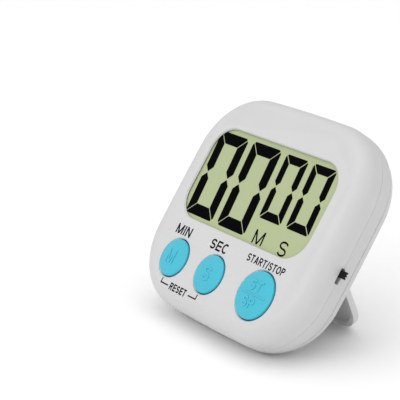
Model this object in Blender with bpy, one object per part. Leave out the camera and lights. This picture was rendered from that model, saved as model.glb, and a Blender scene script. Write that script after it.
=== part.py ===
"""Digital countdown timer: a palm-sized case with a large display, three round keys, a slide
switch, two magnets and a fold-out stand.

The timer is drawn standing upright, with X to its right, Y from its face to its back and Z up,
in millimetres. The origin of that drawing is the middle of the case outline on the plane of the
face. At the end it leans back on its open stand and is set down on the floor plane.
"""

import math

import bmesh
import bpy
from mathutils import Matrix, Vector

MM = 0.001
GAP = 0.3            # clearance between neighbouring pieces
STEPS_ROUND = 20     # sides of a small round piece
STEPS_KEY = 32       # sides of a key
STEPS_CORNER = 7     # facets in a corner of the case
STEPS_SMALL = 12     # sides of a screw
STEPS_HOLE = 8       # sides of a sound hole
SHARP_EDGE = 35      # degrees above which an edge stays sharp
OVER = 1.0           # how far a cutting tool runs past what it cuts

# Case outline
CASE_WIDTH = 75.4
CASE_HEIGHT = 68.3
CORNER_RADIUS = 20.5
SIDE_BOW_RADIUS = 640.0
FRONT_WALL = 1.8
BACK_WALL = 1.2
SIDE_WALL = 1.8
FRONT_EDGE_INSET = 4.4
FRONT_EDGE_DEPTH = 5.8
BACK_EDGE_INSET = 8.0
BACK_EDGE_DEPTH = 10.2
BACK_STEP = 0.4
BACK_STEP_DEPTH = 6.1
LIP_HEIGHT = 1.4
LIP_THICKNESS = 0.75
SEAM_FROM_BACK = 10.6
HOLLOW_FULLNESS = 0.9    # how much of the front edge's inset the hollow follows

# Display
WINDOW_WIDTH = 58.8
WINDOW_HEIGHT = 29.7
WINDOW_CENTRE_Z = 6.8
WINDOW_RADIUS = 8.0
WINDOW_RIM = 0.5
GLASS_BORDER = 1.2
GLASS_LEDGE = 2.4
GLASS_THICKNESS = 0.7
FILM_THICKNESS = 0.2
FRAME_THICKNESS = 0.5
FRAME_BAR = 1.6

# Keys
KEY_RADIUS = 5.82
KEY_TOP_Z = -14.98
MIN_KEY_X = -20.05
SEC_KEY_X = -2.0
START_KEY_RADIUS = 7.13
START_KEY_X = 20.0
START_KEY_TOP_Z = -13.27
KEY_CROWN = 1.0
KEY_CROWN_RINGS = (0.35, 0.7, 0.9)
KEY_EDGE = 0.45
KEY_CHAMFER = 0.2
KEY_FLANGE = 0.5
FLANGE_ROOM = 0.27       # in front of a key's flange
KEY_WALL = 1.1
KEY_STEM_RADIUS = 1.6
KEY_BORE_DEPTH = 1.6
KEY_TRAVEL = 0.6
PLUNGER_RADIUS = 2.6
PLUNGER_THICKNESS = 0.6

# Circuit board
BOARD_FRONT = 4.6
BOARD_THICKNESS = 1.2
BOARD_INSET = 4.6
KEYPAD_THICKNESS = 0.8
KEYPAD_MARGIN = 2.2
KEYPAD_CORNER = 1.5
CONNECTOR_MARGIN = 2.0
BLOB_CENTRE = (-14.0, -3.0)
BLOB_RADIUS = 4.6
BLOB_HEIGHT = 1.3
CRYSTAL_CENTRE = (4.0, -4.0)
CRYSTAL_SIZE = (6.0, 2.0, 2.0)
CAPACITOR_SIZE = (2.0, 0.9, 1.2)
CAPACITORS_X = {"capacitor_left": -23.5, "capacitor_right": -3.5}
CAPACITOR_BELOW_LANDING = 1.75
TRANSISTOR_CENTRE = (15.45, -3.3)
TRANSISTOR_SIZE = (2.9, 1.1, 1.4)
COIL_CENTRE = (21.5, -3.4)
COIL_RADIUS = 2.0
COIL_WAIST = 1.4
COIL_FLANGE = 0.5
COIL_HEIGHT = 2.9
LEAD_RADIUS = 0.35
LEAD_STANDOFF = 1.2      # how far a cell lead runs from the tub
LEAD_BULGE = 0.8
LEAD_RUN = 3.0           # how far a cell lead runs inwards over the board

# Cell and its compartment
CELL_RADIUS = 5.25
CELL_LENGTH = 44.5
CELL_NIPPLE_RADIUS = 1.9
CELL_NIPPLE_LENGTH = 0.9
CELL_Z = 13.0
CELL_EDGE = 0.5
TUB_FLOOR = 0.6
TUB_WALL = 1.2
SPRING_LENGTH = 3.4
SPRING_RADIUS = 2.6
SPRING_WIRE = 0.3
SPRING_TURNS = 4
SPRING_TAPER = 0.35
STEPS_SPRING = 12        # sides of one turn
CONTACT_THICKNESS = 0.4
CONTACT_SIZE = 8.0
CONTACT_TRIM = 1.0
DOOR_THICKNESS = 1.2
DOOR_LEDGE = 0.9
DOOR_TAB_WIDTH = 3.0
DOOR_TAB_REACH = 1.6
DOOR_TAB_THICKNESS = 0.9
DOOR_TAB_OFFSET = 0.5
DOOR_FOOT = 1.2
NOTCH_REACH = 1.4
NOTCH_DEPTH = 0.7
NOTCH_HALF_WIDTH = 4.0

# Stand
STAND_HALF_WIDTH = 23.0
STAND_LENGTH = 26.1
STAND_RADIUS = 8.0
STAND_THICKNESS = 2.0
STAND_RIM = 1.6
STAND_HOLLOW = 0.8
STAND_TRAY_MARGIN = 2.0  # solid stretch between the hinge and the tray
STAND_FROM_BOTTOM = 7.05
STEPS_FOOT = 6           # facets in each round corner of the foot
STAND_HEAD = 0.75
STAND_HEEL = 1.9
HEEL_HALF_WIDTH = 18.0
HEEL_INSET = 0.05        # how far the heel lies below the plate's two faces
HINGE_DEPTH = 1.25
HINGE_PIN_RADIUS = 0.65
HINGE_PIN_LENGTH = 1.2
LEAN = 34.0

# Magnets, sounder and switch
MAGNET_RADIUS = 3.5
MAGNET_THICKNESS = 2.0
MAGNET_FROM_SIDE = 9.8
MAGNET_Z = -6.5
SOUNDER_RADIUS = 9.0
WAFER_SHARE = 0.65       # of the sounder plate's radius
SOUNDER_BELOW_HINGE = 14.6
SOUNDER_WALL = 0.9
SOUNDER_DEPTH = 2.4
BRASS_THICKNESS = 0.3
CERAMIC_THICKNESS = 0.3
SOUND_HOLE_RADIUS = 0.8
SOUND_HOLE_PITCH = 3.2
SLOT_LENGTH = 4.65
SLOT_WIDTH = 1.5
SLOT_Z = -5.5
KNOB_LENGTH = 2.1
KNOB_WIDTH = 0.9
KNOB_PROUD = 2.0
KNOB_FROM_SLOT_END = 0.55
SWITCH_LENGTH = 8.6
SWITCH_DEPTH = 3.9
SWITCH_HEIGHT = 5.0
KNOB_TAIL = 1.6

# Fasteners
TOP_SCREW_FROM_SIDE = 17.9
TOP_SCREW_FROM_TOP = 8.3
LOW_SCREW_FROM_SIDE = 8.0
LOW_SCREW_Z = -14.5
BOARD_SCREW_X = 7.0
BOARD_SCREW_FROM_TOP = 8.0
BOARD_SCREW_LOW_Z = -26.0
SCREW_EDGE = 0.3
CROSS_HALF_WIDTH = 0.25
CROSS_DEPTH = 0.5
CROSS_REACH = 0.6        # of the head's radius
CASE_SCREW_SHANK = 1.0
CASE_SCREW_HEAD = 1.9
CASE_SCREW_HEAD_HEIGHT = 1.2
CASE_SCREW_TIP = 4.3
BOARD_SCREW_SHANK = 0.7
BOARD_SCREW_HEAD = 1.5
BOARD_SCREW_HEAD_HEIGHT = 0.9
BOARD_SCREW_TIP = 2.6
BOSS_WALL = 0.9

# Heights in the stack from the face to the back
BOARD_BACK = BOARD_FRONT + BOARD_THICKNESS
TUB_FRONT = BOARD_BACK + GAP
CELL_Y = TUB_FRONT + TUB_FLOOR + GAP + CELL_RADIUS
DOOR_INNER = CELL_Y + CELL_RADIUS + GAP
CASE_DEPTH = DOOR_INNER + DOOR_THICKNESS
SEAM = CASE_DEPTH - SEAM_FROM_BACK
FRONT_FILM_Y = WINDOW_RIM + GAP
FRONT_GLASS_Y = FRONT_FILM_Y + FILM_THICKNESS + GAP
REAR_GLASS_Y = FRONT_GLASS_Y + GLASS_THICKNESS + GAP
REFLECTOR_Y = REAR_GLASS_Y + GLASS_THICKNESS + GAP
FRAME_Y = REFLECTOR_Y + FILM_THICKNESS + GAP
KEYPAD_Y = BOARD_FRONT - GAP - KEYPAD_THICKNESS
PLUNGER_Y = BOARD_FRONT - GAP - KEY_TRAVEL - PLUNGER_THICKNESS
KEY_BACK = PLUNGER_Y - GAP
KEY_FLANGE_Y = FRONT_WALL + GAP

# Places that follow from the case
TUB_HALF_LENGTH = (CELL_LENGTH + SPRING_LENGTH) / 2 + CONTACT_THICKNESS + 2 * GAP
TUB_HALF_WIDTH = CELL_RADIUS + GAP
DOOR_HALF_LENGTH = TUB_HALF_LENGTH + DOOR_LEDGE
DOOR_HALF_WIDTH = TUB_HALF_WIDTH + DOOR_LEDGE
CASE_SCREWS = {
    "top_left": (TOP_SCREW_FROM_SIDE - CASE_WIDTH / 2, CASE_HEIGHT / 2 - TOP_SCREW_FROM_TOP),
    "top_right": (CASE_WIDTH / 2 - TOP_SCREW_FROM_SIDE, CASE_HEIGHT / 2 - TOP_SCREW_FROM_TOP),
    "bottom_left": (LOW_SCREW_FROM_SIDE - CASE_WIDTH / 2, LOW_SCREW_Z),
    "bottom_right": (CASE_WIDTH / 2 - LOW_SCREW_FROM_SIDE, LOW_SCREW_Z),
}
KEY_Z = KEY_TOP_Z - KEY_RADIUS
START_KEY_Z = START_KEY_TOP_Z - START_KEY_RADIUS
KEY_GAP_RIGHT = (SEC_KEY_X + KEY_RADIUS + START_KEY_X - START_KEY_RADIUS) / 2
KEY_GAP_LEFT = (MIN_KEY_X + SEC_KEY_X) / 2
BOARD_SCREWS = {
    "top_left": (-BOARD_SCREW_X, CASE_HEIGHT / 2 - BOARD_SCREW_FROM_TOP),
    "top_right": (BOARD_SCREW_X, CASE_HEIGHT / 2 - BOARD_SCREW_FROM_TOP),
    "bottom_left": (KEY_GAP_LEFT, BOARD_SCREW_LOW_Z),
    "bottom_right": (KEY_GAP_RIGHT, BOARD_SCREW_LOW_Z),
}
KEYS = {
    "min": (MIN_KEY_X, KEY_Z, KEY_RADIUS),
    "sec": (SEC_KEY_X, KEY_Z, KEY_RADIUS),
    "start_stop": (START_KEY_X, START_KEY_Z, START_KEY_RADIUS),
}
CASE_BOSS_RADIUS = CASE_SCREW_SHANK + GAP + BOSS_WALL
CASE_POST_RADIUS = CASE_SCREW_HEAD + GAP + BOSS_WALL
BOARD_BOSS_RADIUS = BOARD_SCREW_SHANK + GAP + BOSS_WALL
HINGE_Y = CASE_DEPTH - HINGE_DEPTH
HINGE_Z = STAND_FROM_BOTTOM + STAND_LENGTH - CASE_HEIGHT / 2
RECESS_FLOOR = CASE_DEPTH - STAND_THICKNESS - 2 * GAP
RECESS_TOP = HINGE_Z + HINGE_DEPTH + 2 * GAP
HEEL_FLOOR = HINGE_Y - STAND_HEEL - 2 * GAP
HEEL_TOP = HINGE_Z + STAND_HEEL + 2 * GAP
SOUNDER_Z = HINGE_Z - SOUNDER_BELOW_HINGE
MAGNET_X = CASE_WIDTH / 2 - MAGNET_FROM_SIDE
SWITCH_MOUTH = CASE_WIDTH / 2 - SIDE_WALL - 3 * GAP
LEAD_LANDING_Z = CELL_Z - TUB_HALF_WIDTH - TUB_WALL - 2 * LEAD_STANDOFF


# Materials

def plastic(name, colour, roughness=0.4, metallic=0.0):
    """A plain Principled material."""
    material = bpy.data.materials.new(name)
    material.use_nodes = True
    shader = material.node_tree.nodes["Principled BSDF"]
    shader.inputs["Base Color"].default_value = (*colour, 1.0)
    shader.inputs["Roughness"].default_value = roughness
    shader.inputs["Metallic"].default_value = metallic
    material.diffuse_color = (*colour, 1.0)
    return material


# Solids

def finish(bm, name):
    """A new object from a closed bmesh in drawing millimetres."""
    bmesh.ops.recalc_face_normals(bm, faces=bm.faces)
    bmesh.ops.scale(bm, vec=Vector((MM, MM, MM)), verts=bm.verts)
    mesh = bpy.data.meshes.new(name)
    bm.to_mesh(mesh)
    bm.free()
    obj = bpy.data.objects.new(name, mesh)
    bpy.context.scene.collection.objects.link(obj)
    return obj


def loft(name, rings):
    """A solid through rings of equally many points, with a flat cap on the first and last."""
    bm = bmesh.new()
    loops = [[bm.verts.new(point) for point in ring] for ring in rings]
    count = len(loops[0])
    for lower, upper in zip(loops, loops[1:]):
        for i in range(count):
            j = (i + 1) % count
            bm.faces.new((lower[i], lower[j], upper[j], upper[i]))
    bm.faces.new(loops[0])
    bm.faces.new(loops[-1])
    return finish(bm, name)


def prism(name, outline, y_low, y_high):
    """An (x, z) outline extruded along Y."""
    return loft(name, [[(x, y, z) for x, z in outline] for y in (y_low, y_high)])


def box(name, x, y, z):
    """A block between pairs of limits."""
    corners = [(x[0], z[0]), (x[1], z[0]), (x[1], z[1]), (x[0], z[1])]
    return prism(name, corners, *y)


def turned(name, profile, centre, steps=STEPS_ROUND, along="Y", phase=0.0):
    """A solid of revolution. The profile lists (radius, height) from axis to axis, or all round a
    ring's section, and the centre is the point that heights are counted from."""
    bm = bmesh.new()
    if profile[0][0] > 0:
        profile = profile + profile[:1]
    turns = [2 * math.pi * (k + phase) / steps for k in range(steps)]
    rows = []
    for radius, height in profile:
        if rows and (radius, height) == profile[0] and radius > 0:
            rows.append(rows[0])
            continue
        if radius == 0:
            rows.append([bm.verts.new((0, 0, height))] * steps)
            continue
        ring = [(radius * math.cos(t), radius * math.sin(t), height) for t in turns]
        rows.append([bm.verts.new(point) for point in ring])
    for lower, upper in zip(rows, rows[1:]):
        for i in range(steps):
            j = (i + 1) % steps
            corners = [lower[i], lower[j], upper[j], upper[i]]
            bm.faces.new(list(dict.fromkeys(corners)))
    turn = {"X": Matrix.Rotation(math.pi / 2, 4, "Y"),
            "Y": Matrix.Rotation(-math.pi / 2, 4, "X"),
            "Z": Matrix.Identity(4)}[along]
    bm.transform(Matrix.Translation(centre) @ turn)
    return finish(bm, name)


def rod(name, radius, x, y_low, y_high, z, steps=STEPS_ROUND, phase=0.0):
    """A round bar along Y."""
    profile = [(0, y_low), (radius, y_low), (radius, y_high), (0, y_high)]
    return turned(name, profile, (x, 0, z), steps, phase=phase)


def rounded_rectangle(width, height, radius, centre=(0, 0), steps=6):
    """An outline with four equal corner arcs."""
    points = []
    for quarter, (sx, sz) in enumerate(((1, 1), (-1, 1), (-1, -1), (1, -1))):
        cx = centre[0] + sx * (width / 2 - radius)
        cz = centre[1] + sz * (height / 2 - radius)
        for k in range(steps + 1):
            t = math.pi / 2 * (quarter + k / steps)
            points.append((cx + radius * math.cos(t), cz + radius * math.sin(t)))
    return points


def case_outline(inset):
    """The case outline moved inwards: four bowed sides that run smoothly into four corners."""
    side_x = CASE_WIDTH / 2 - SIDE_BOW_RADIUS
    top_z = CASE_HEIGHT / 2 - SIDE_BOW_RADIUS
    reach = SIDE_BOW_RADIUS - CORNER_RADIUS
    middle = Vector((side_x, top_z)) / 2
    across = Vector((abs(top_z), abs(side_x))).normalized()
    corner = middle + across * math.sqrt(reach ** 2 - middle.length ** 2)
    low = math.atan2(corner.y, corner.x - side_x)
    high = math.atan2(corner.y - top_z, corner.x)
    bow = SIDE_BOW_RADIUS - inset
    turn = CORNER_RADIUS - inset
    quarter = [(side_x + bow, 0.0)]
    quarter.append((side_x + bow * math.cos(low / 2), bow * math.sin(low / 2)))
    for k in range(STEPS_CORNER + 1):
        t = low + (high - low) * k / STEPS_CORNER
        quarter.append((corner.x + turn * math.cos(t), corner.y + turn * math.sin(t)))
    t = (high + math.pi / 2) / 2
    quarter.append((bow * math.cos(t), top_z + bow * math.sin(t)))
    quarter.append((0.0, top_z + bow))
    upper = quarter + [(-x, z) for x, z in reversed(quarter[:-1])]
    return upper + [(x, -z) for x, z in reversed(upper[1:-1])]


def case_ring(inset, y):
    """One ring of the case: its outline at a depth behind the face."""
    return [(x, y, z) for x, z in case_outline(inset)]


# Boolean steps

def combine(target, tool, operation):
    """Cuts, joins or keeps the common part of two solids, and removes the tool."""
    modifier = target.modifiers.new(tool.name, "BOOLEAN")
    modifier.operation = operation
    modifier.solver = "EXACT"
    modifier.object = tool
    graph = bpy.context.evaluated_depsgraph_get()
    mesh = bpy.data.meshes.new_from_object(target.evaluated_get(graph))
    target.modifiers.clear()
    old = target.data
    target.data = mesh
    mesh.name = target.name
    bpy.data.meshes.remove(old)
    bpy.data.objects.remove(tool)


def cut(target, *tools):
    """Takes each tool out of the target."""
    for tool in tools:
        combine(target, tool, "DIFFERENCE")


def join(target, *tools):
    """Adds each tool to the target."""
    for tool in tools:
        combine(target, tool, "UNION")


# Case shells

def front_arc(steps=5):
    """(inset, depth) round the front edge, from the face to the side."""
    arc = []
    for k in range(steps + 1):
        t = math.pi / 2 * k / steps
        arc.append((FRONT_EDGE_INSET * (1 - math.sin(t)), FRONT_EDGE_DEPTH * (1 - math.cos(t))))
    return arc


def back_arc(steps=6):
    """(inset, depth) round the back edge, from the side to the back, with its shallow step."""
    start = CASE_DEPTH - BACK_EDGE_DEPTH
    crease = CASE_DEPTH - BACK_STEP_DEPTH

    def inset_at(depth):
        share = (depth - start) / BACK_EDGE_DEPTH
        return BACK_EDGE_INSET * (1 - math.sqrt(max(0.0, 1 - share ** 2)))

    arc = [(0.0, start), (inset_at(crease), crease), (inset_at(crease) + BACK_STEP, crease + GAP)]
    first = math.asin((crease - start) / BACK_EDGE_DEPTH)
    for k in range(1, steps + 1):
        t = first + (math.pi / 2 - first) * k / steps
        depth = start + BACK_EDGE_DEPTH * math.sin(t)
        arc.append((inset_at(depth) + BACK_STEP, depth))
    return arc


def switch_slot():
    """The slot through the side wall, half in each shell."""
    side = CASE_WIDTH / 2
    return box("slot", (side - 2 * SIDE_WALL, side + OVER), (SEAM - SLOT_WIDTH / 2, SEAM + SLOT_WIDTH / 2),
               (SLOT_Z - SLOT_LENGTH / 2, SLOT_Z + SLOT_LENGTH / 2))


def front_shell(material):
    """The front half: window, key holes, switch slot and screw bosses."""
    outer = [case_ring(inset, depth) for inset, depth in front_arc()]
    shell = loft("front_shell", outer + [case_ring(0.0, SEAM - GAP / 2)])
    shallower = 1 - FRONT_WALL / FRONT_EDGE_DEPTH / 2
    arc = [(inset * HOLLOW_FULLNESS + SIDE_WALL, FRONT_WALL + depth * shallower)
           for inset, depth in front_arc(4)]
    rebate = SEAM - GAP / 2 - LIP_HEIGHT - GAP
    hollow = [case_ring(inset, depth) for inset, depth in arc]
    hollow.append(case_ring(SIDE_WALL, SEAM + OVER))
    cut(shell, loft("hollow", hollow))
    thin = SIDE_WALL - LIP_THICKNESS - GAP
    cut(shell, loft("rebate", [case_ring(thin, rebate), case_ring(thin, SEAM + OVER)]))
    for x, z in CASE_SCREWS.values():
        join(shell, rod("boss", CASE_BOSS_RADIUS, x, FRONT_WALL / 2, SEAM - GAP, z))
        cut(shell, rod("pilot", CASE_SCREW_SHANK + GAP, x, CASE_SCREW_TIP - GAP, SEAM + OVER, z,
                       phase=0.5))
    for x, z in BOARD_SCREWS.values():
        join(shell, rod("boss", BOARD_BOSS_RADIUS, x, FRONT_WALL / 2, BOARD_FRONT - GAP, z))
        cut(shell, rod("pilot", BOARD_SCREW_SHANK + GAP, x, BOARD_SCREW_TIP - GAP, SEAM, z, phase=0.5))
    pocket_x = WINDOW_WIDTH / 2 + GLASS_BORDER + GAP
    pocket_top = WINDOW_CENTRE_Z + WINDOW_HEIGHT / 2 + GLASS_BORDER + GAP
    pocket_low = WINDOW_CENTRE_Z - WINDOW_HEIGHT / 2 - GLASS_BORDER - GLASS_LEDGE - GAP
    cut(shell,
        box("pocket", (-pocket_x, pocket_x), (WINDOW_RIM, FRONT_WALL + OVER), (pocket_low, pocket_top)),
        prism("window", rounded_rectangle(WINDOW_WIDTH, WINDOW_HEIGHT, WINDOW_RADIUS, (0, WINDOW_CENTRE_Z)),
              -OVER, FRONT_WALL + OVER))
    for x, z, radius in KEYS.values():
        cut(shell,
            rod("key_hole", radius + GAP, x, -OVER, FRONT_WALL + OVER, z, STEPS_KEY),
            rod("flange_space", radius + KEY_FLANGE + GAP, x, KEY_FLANGE_Y - FLANGE_ROOM, BOARD_FRONT, z,
                STEPS_KEY))
    cut(shell, switch_slot())
    shell.data.materials.append(material)
    return shell


def stand_outline(grow, top):
    """The stand's outline below the hinge axis, straight at the top and round at the foot."""
    width = STAND_HALF_WIDTH + grow
    low = HINGE_Z - STAND_LENGTH - grow
    radius = STAND_RADIUS + grow
    points = [(width, top), (-width, top)]
    for side, start in ((-1, math.pi), (1, 1.5 * math.pi)):
        for k in range(STEPS_FOOT + 1):
            t = start + math.pi / 2 * k / STEPS_FOOT
            points.append((side * (width - radius) + radius * math.cos(t),
                           low + radius + radius * math.sin(t)))
    return points


def tub_tabs(grow):
    """Limits along Z of the two door tabs."""
    half = DOOR_TAB_WIDTH / 2 + grow
    middle = CELL_RADIUS / 2 + DOOR_TAB_OFFSET
    return [(CELL_Z + side * middle - half, CELL_Z + side * middle + half) for side in (-1, 1)]


def rear_shell(material):
    """The rear half: cell tub, stand recess, magnet pockets, screw posts and sounder well."""
    rings = [case_ring(0.0, SEAM + GAP / 2)] + [case_ring(i, d) for i, d in back_arc()]
    shell = loft("rear_shell", rings)
    low, high = SIDE_WALL - LIP_THICKNESS, SEAM + OVER
    join(shell, loft("lip", [case_ring(low, SEAM + GAP / 2 - LIP_HEIGHT), case_ring(low, high)]))
    tub_x = TUB_HALF_LENGTH + TUB_WALL
    tub_z = (CELL_Z - TUB_HALF_WIDTH - TUB_WALL, CELL_Z + TUB_HALF_WIDTH + TUB_WALL)
    join(shell, box("tub", (-tub_x - OVER, tub_x + OVER), (TUB_FRONT, high),
                    (tub_z[0] - OVER, tub_z[1] + OVER)))

    hollow = loft("hollow", [case_ring(SIDE_WALL, TUB_FRONT - 3 * OVER)]
                  + [case_ring(i + SIDE_WALL, d - BACK_WALL) for i, d in back_arc(4)])
    floor = RECESS_FLOOR - BACK_WALL
    cut(hollow,
        box("tub", (-tub_x, tub_x), (TUB_FRONT - 5 * OVER, CASE_DEPTH), tub_z),
        box("tub_rim", (-tub_x - DOOR_LEDGE, tub_x + DOOR_LEDGE),
            (DOOR_INNER - GAP - BACK_WALL, CASE_DEPTH), (tub_z[0] - DOOR_LEDGE, tub_z[1] + DOOR_LEDGE)),
        prism("recess", stand_outline(GAP + BACK_WALL, RECESS_TOP + BACK_WALL), floor, CASE_DEPTH),
        box("heel", (-HEEL_HALF_WIDTH - GAP - BACK_WALL, HEEL_HALF_WIDTH + GAP + BACK_WALL),
            (HEEL_FLOOR - BACK_WALL, CASE_DEPTH), (HINGE_Z - STAND_HEEL - BACK_WALL, HEEL_TOP + BACK_WALL)))
    for x, z in CASE_SCREWS.values():
        cut(hollow, rod("post", CASE_POST_RADIUS, x, SEAM + GAP / 2, CASE_DEPTH, z))
    for side in (-1, 1):
        cut(hollow, rod("housing", MAGNET_RADIUS + GAP + BOSS_WALL, side * MAGNET_X,
                        CASE_DEPTH - MAGNET_THICKNESS - 2 * GAP - BACK_WALL, CASE_DEPTH, MAGNET_Z,
                        STEPS_KEY))
    bore = SOUNDER_RADIUS + GAP
    rim = floor - SOUNDER_DEPTH
    section = [(bore, rim), (bore + SOUNDER_WALL, rim), (bore + SOUNDER_WALL, floor + OVER),
               (bore, floor + OVER)]
    cut(hollow, turned("well", section, (0, 0, SOUNDER_Z), STEPS_KEY))
    cut(shell, hollow)

    tub = (-TUB_HALF_LENGTH, TUB_HALF_LENGTH)
    cut(shell,
        box("cell_space", tub, (TUB_FRONT + TUB_FLOOR, CASE_DEPTH + OVER),
            (CELL_Z - TUB_HALF_WIDTH, CELL_Z + TUB_HALF_WIDTH)),
        box("door_seat", (-DOOR_HALF_LENGTH - GAP, DOOR_HALF_LENGTH + GAP),
            (DOOR_INNER - GAP, CASE_DEPTH + OVER),
            (CELL_Z - DOOR_HALF_WIDTH - GAP, CELL_Z + DOOR_HALF_WIDTH + GAP)))
    for limits in tub_tabs(GAP):
        cut(shell, box("tab_slot", (-DOOR_HALF_LENGTH - DOOR_TAB_REACH - 2 * GAP, OVER - TUB_HALF_LENGTH),
                       (DOOR_INNER - 2 * DOOR_TAB_THICKNESS - 4 * GAP, DOOR_INNER - GAP / 2), limits))
    cut(shell,
        prism("recess", stand_outline(GAP, RECESS_TOP), RECESS_FLOOR, CASE_DEPTH + OVER),
        box("heel_space", (-HEEL_HALF_WIDTH - GAP, HEEL_HALF_WIDTH + GAP), (HEEL_FLOOR, CASE_DEPTH + OVER),
            (HINGE_Z - STAND_HEEL, HEEL_TOP)),
        turned("pin_holes", pin_profile(GAP), (0, HINGE_Y, HINGE_Z), along="X"))
    for x, z in CASE_SCREWS.values():
        seat = CASE_DEPTH - CASE_SCREW_HEAD_HEIGHT - 3 * GAP
        cut(shell,
            rod("bore", CASE_SCREW_SHANK + GAP, x, SEAM - OVER, seat + OVER / 2, z, phase=0.5),
            rod("counterbore", CASE_SCREW_HEAD + GAP, x, seat, CASE_DEPTH + OVER, z, phase=0.25))
    for side in (-1, 1):
        cut(shell, rod("magnet_pocket", MAGNET_RADIUS + GAP, side * MAGNET_X,
                       CASE_DEPTH - MAGNET_THICKNESS - 2 * GAP, CASE_DEPTH + OVER, MAGNET_Z, STEPS_KEY,
                       phase=0.5))
    for column in (-1, 0, 1):
        for row in (-1, 0, 1):
            cut(shell, rod("sound_hole", SOUND_HOLE_RADIUS, column * SOUND_HOLE_PITCH, floor - OVER,
                           CASE_DEPTH, SOUNDER_Z + row * SOUND_HOLE_PITCH, STEPS_HOLE))
    cut(shell, switch_slot())
    shell.data.materials.append(material)
    return shell


# Moving pieces of the outside

def pin_profile(grow):
    """Both hinge pins as one bar along the hinge axis."""
    reach = STAND_HALF_WIDTH + HINGE_PIN_LENGTH + grow
    radius = HINGE_PIN_RADIUS + grow
    return [(0, -reach), (radius, -reach), (radius, reach), (0, reach)]


def folding_stand(material):
    """The stand, drawn folded shut: a rimmed plate with a heel above its hinge pins."""
    outer = CASE_DEPTH
    inner = CASE_DEPTH - STAND_THICKNESS
    stand = prism("folding_stand", stand_outline(0, HINGE_Z + STAND_HEAD), inner, outer)
    join(stand, box("heel", (-HEEL_HALF_WIDTH, HEEL_HALF_WIDTH), (inner + HEEL_INSET, outer - HEEL_INSET),
                    (HINGE_Z, HINGE_Z + STAND_HEEL)))
    tray = rounded_rectangle(2 * (STAND_HALF_WIDTH - STAND_RIM),
                             STAND_LENGTH - 2 * STAND_RIM - STAND_TRAY_MARGIN, STAND_RADIUS - STAND_RIM,
                             (0, HINGE_Z - (STAND_TRAY_MARGIN + STAND_LENGTH) / 2))
    cut(stand, prism("tray", tray, inner - OVER, inner + STAND_HOLLOW))
    join(stand, turned("pins", pin_profile(0), (0, HINGE_Y, HINGE_Z), along="X"))
    stand.data.materials.append(material)
    return stand


def battery_door(material):
    """The plate over the cell, with two tabs that hook under the rear shell."""
    door = box("battery_door", (-DOOR_HALF_LENGTH, DOOR_HALF_LENGTH), (DOOR_INNER, CASE_DEPTH),
               (CELL_Z - DOOR_HALF_WIDTH, CELL_Z + DOOR_HALF_WIDTH))
    tab_back = DOOR_INNER - 2 * GAP
    root = -TUB_HALF_LENGTH + 2 * GAP
    for limits in tub_tabs(0):
        join(door,
             box("foot", (root, root + DOOR_FOOT),
                 (tab_back - DOOR_TAB_THICKNESS, DOOR_INNER + DOOR_THICKNESS / 2), limits),
             box("tab", (-DOOR_HALF_LENGTH - DOOR_TAB_REACH, root + DOOR_FOOT / 2),
                 (tab_back - DOOR_TAB_THICKNESS, tab_back), limits))
    cut(door, box("thumb_notch", (DOOR_HALF_LENGTH - NOTCH_REACH, DOOR_HALF_LENGTH + OVER),
                  (CASE_DEPTH - NOTCH_DEPTH, CASE_DEPTH + OVER),
                  (CELL_Z - NOTCH_HALF_WIDTH, CELL_Z + NOTCH_HALF_WIDTH)))
    door.data.materials.append(material)
    return door


def key_cap(name, x, z, radius, material):
    """A hollow domed key with a flange that the front shell holds and a stem in its middle."""
    crown = [(0, -KEY_CROWN)]
    for share in KEY_CROWN_RINGS:
        crown.append((radius * share, (KEY_CROWN - KEY_EDGE) * share ** 2 - KEY_CROWN))
    bore = KEY_BACK - KEY_BORE_DEPTH
    profile = crown + [
        (radius - KEY_CHAMFER, -KEY_EDGE), (radius, KEY_CHAMFER - KEY_EDGE), (radius, KEY_FLANGE_Y),
        (radius + KEY_FLANGE, KEY_FLANGE_Y), (radius + KEY_FLANGE, KEY_BACK),
        (radius - KEY_WALL, KEY_BACK), (radius - KEY_WALL, bore),
        (KEY_STEM_RADIUS, bore), (KEY_STEM_RADIUS, KEY_BACK), (0, KEY_BACK)]
    cap = turned(name, profile, (x, 0, z), STEPS_KEY)
    cap.data.materials.append(material)
    return cap


def switch_knob(material):
    """The slider of the power switch, with the knob that comes out through the slot."""
    top = SLOT_Z + SLOT_LENGTH / 2 - KNOB_FROM_SLOT_END
    knob = box("power_switch_knob", (SWITCH_MOUTH - KNOB_TAIL, CASE_WIDTH / 2 + KNOB_PROUD),
               (SEAM - KNOB_WIDTH / 2, SEAM + KNOB_WIDTH / 2), (top - KNOB_LENGTH, top))
    knob.data.materials.append(material)
    return knob


# Inside

def simple(obj, material):
    """Gives a finished solid its material."""
    obj.data.materials.append(material)
    return obj


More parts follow.
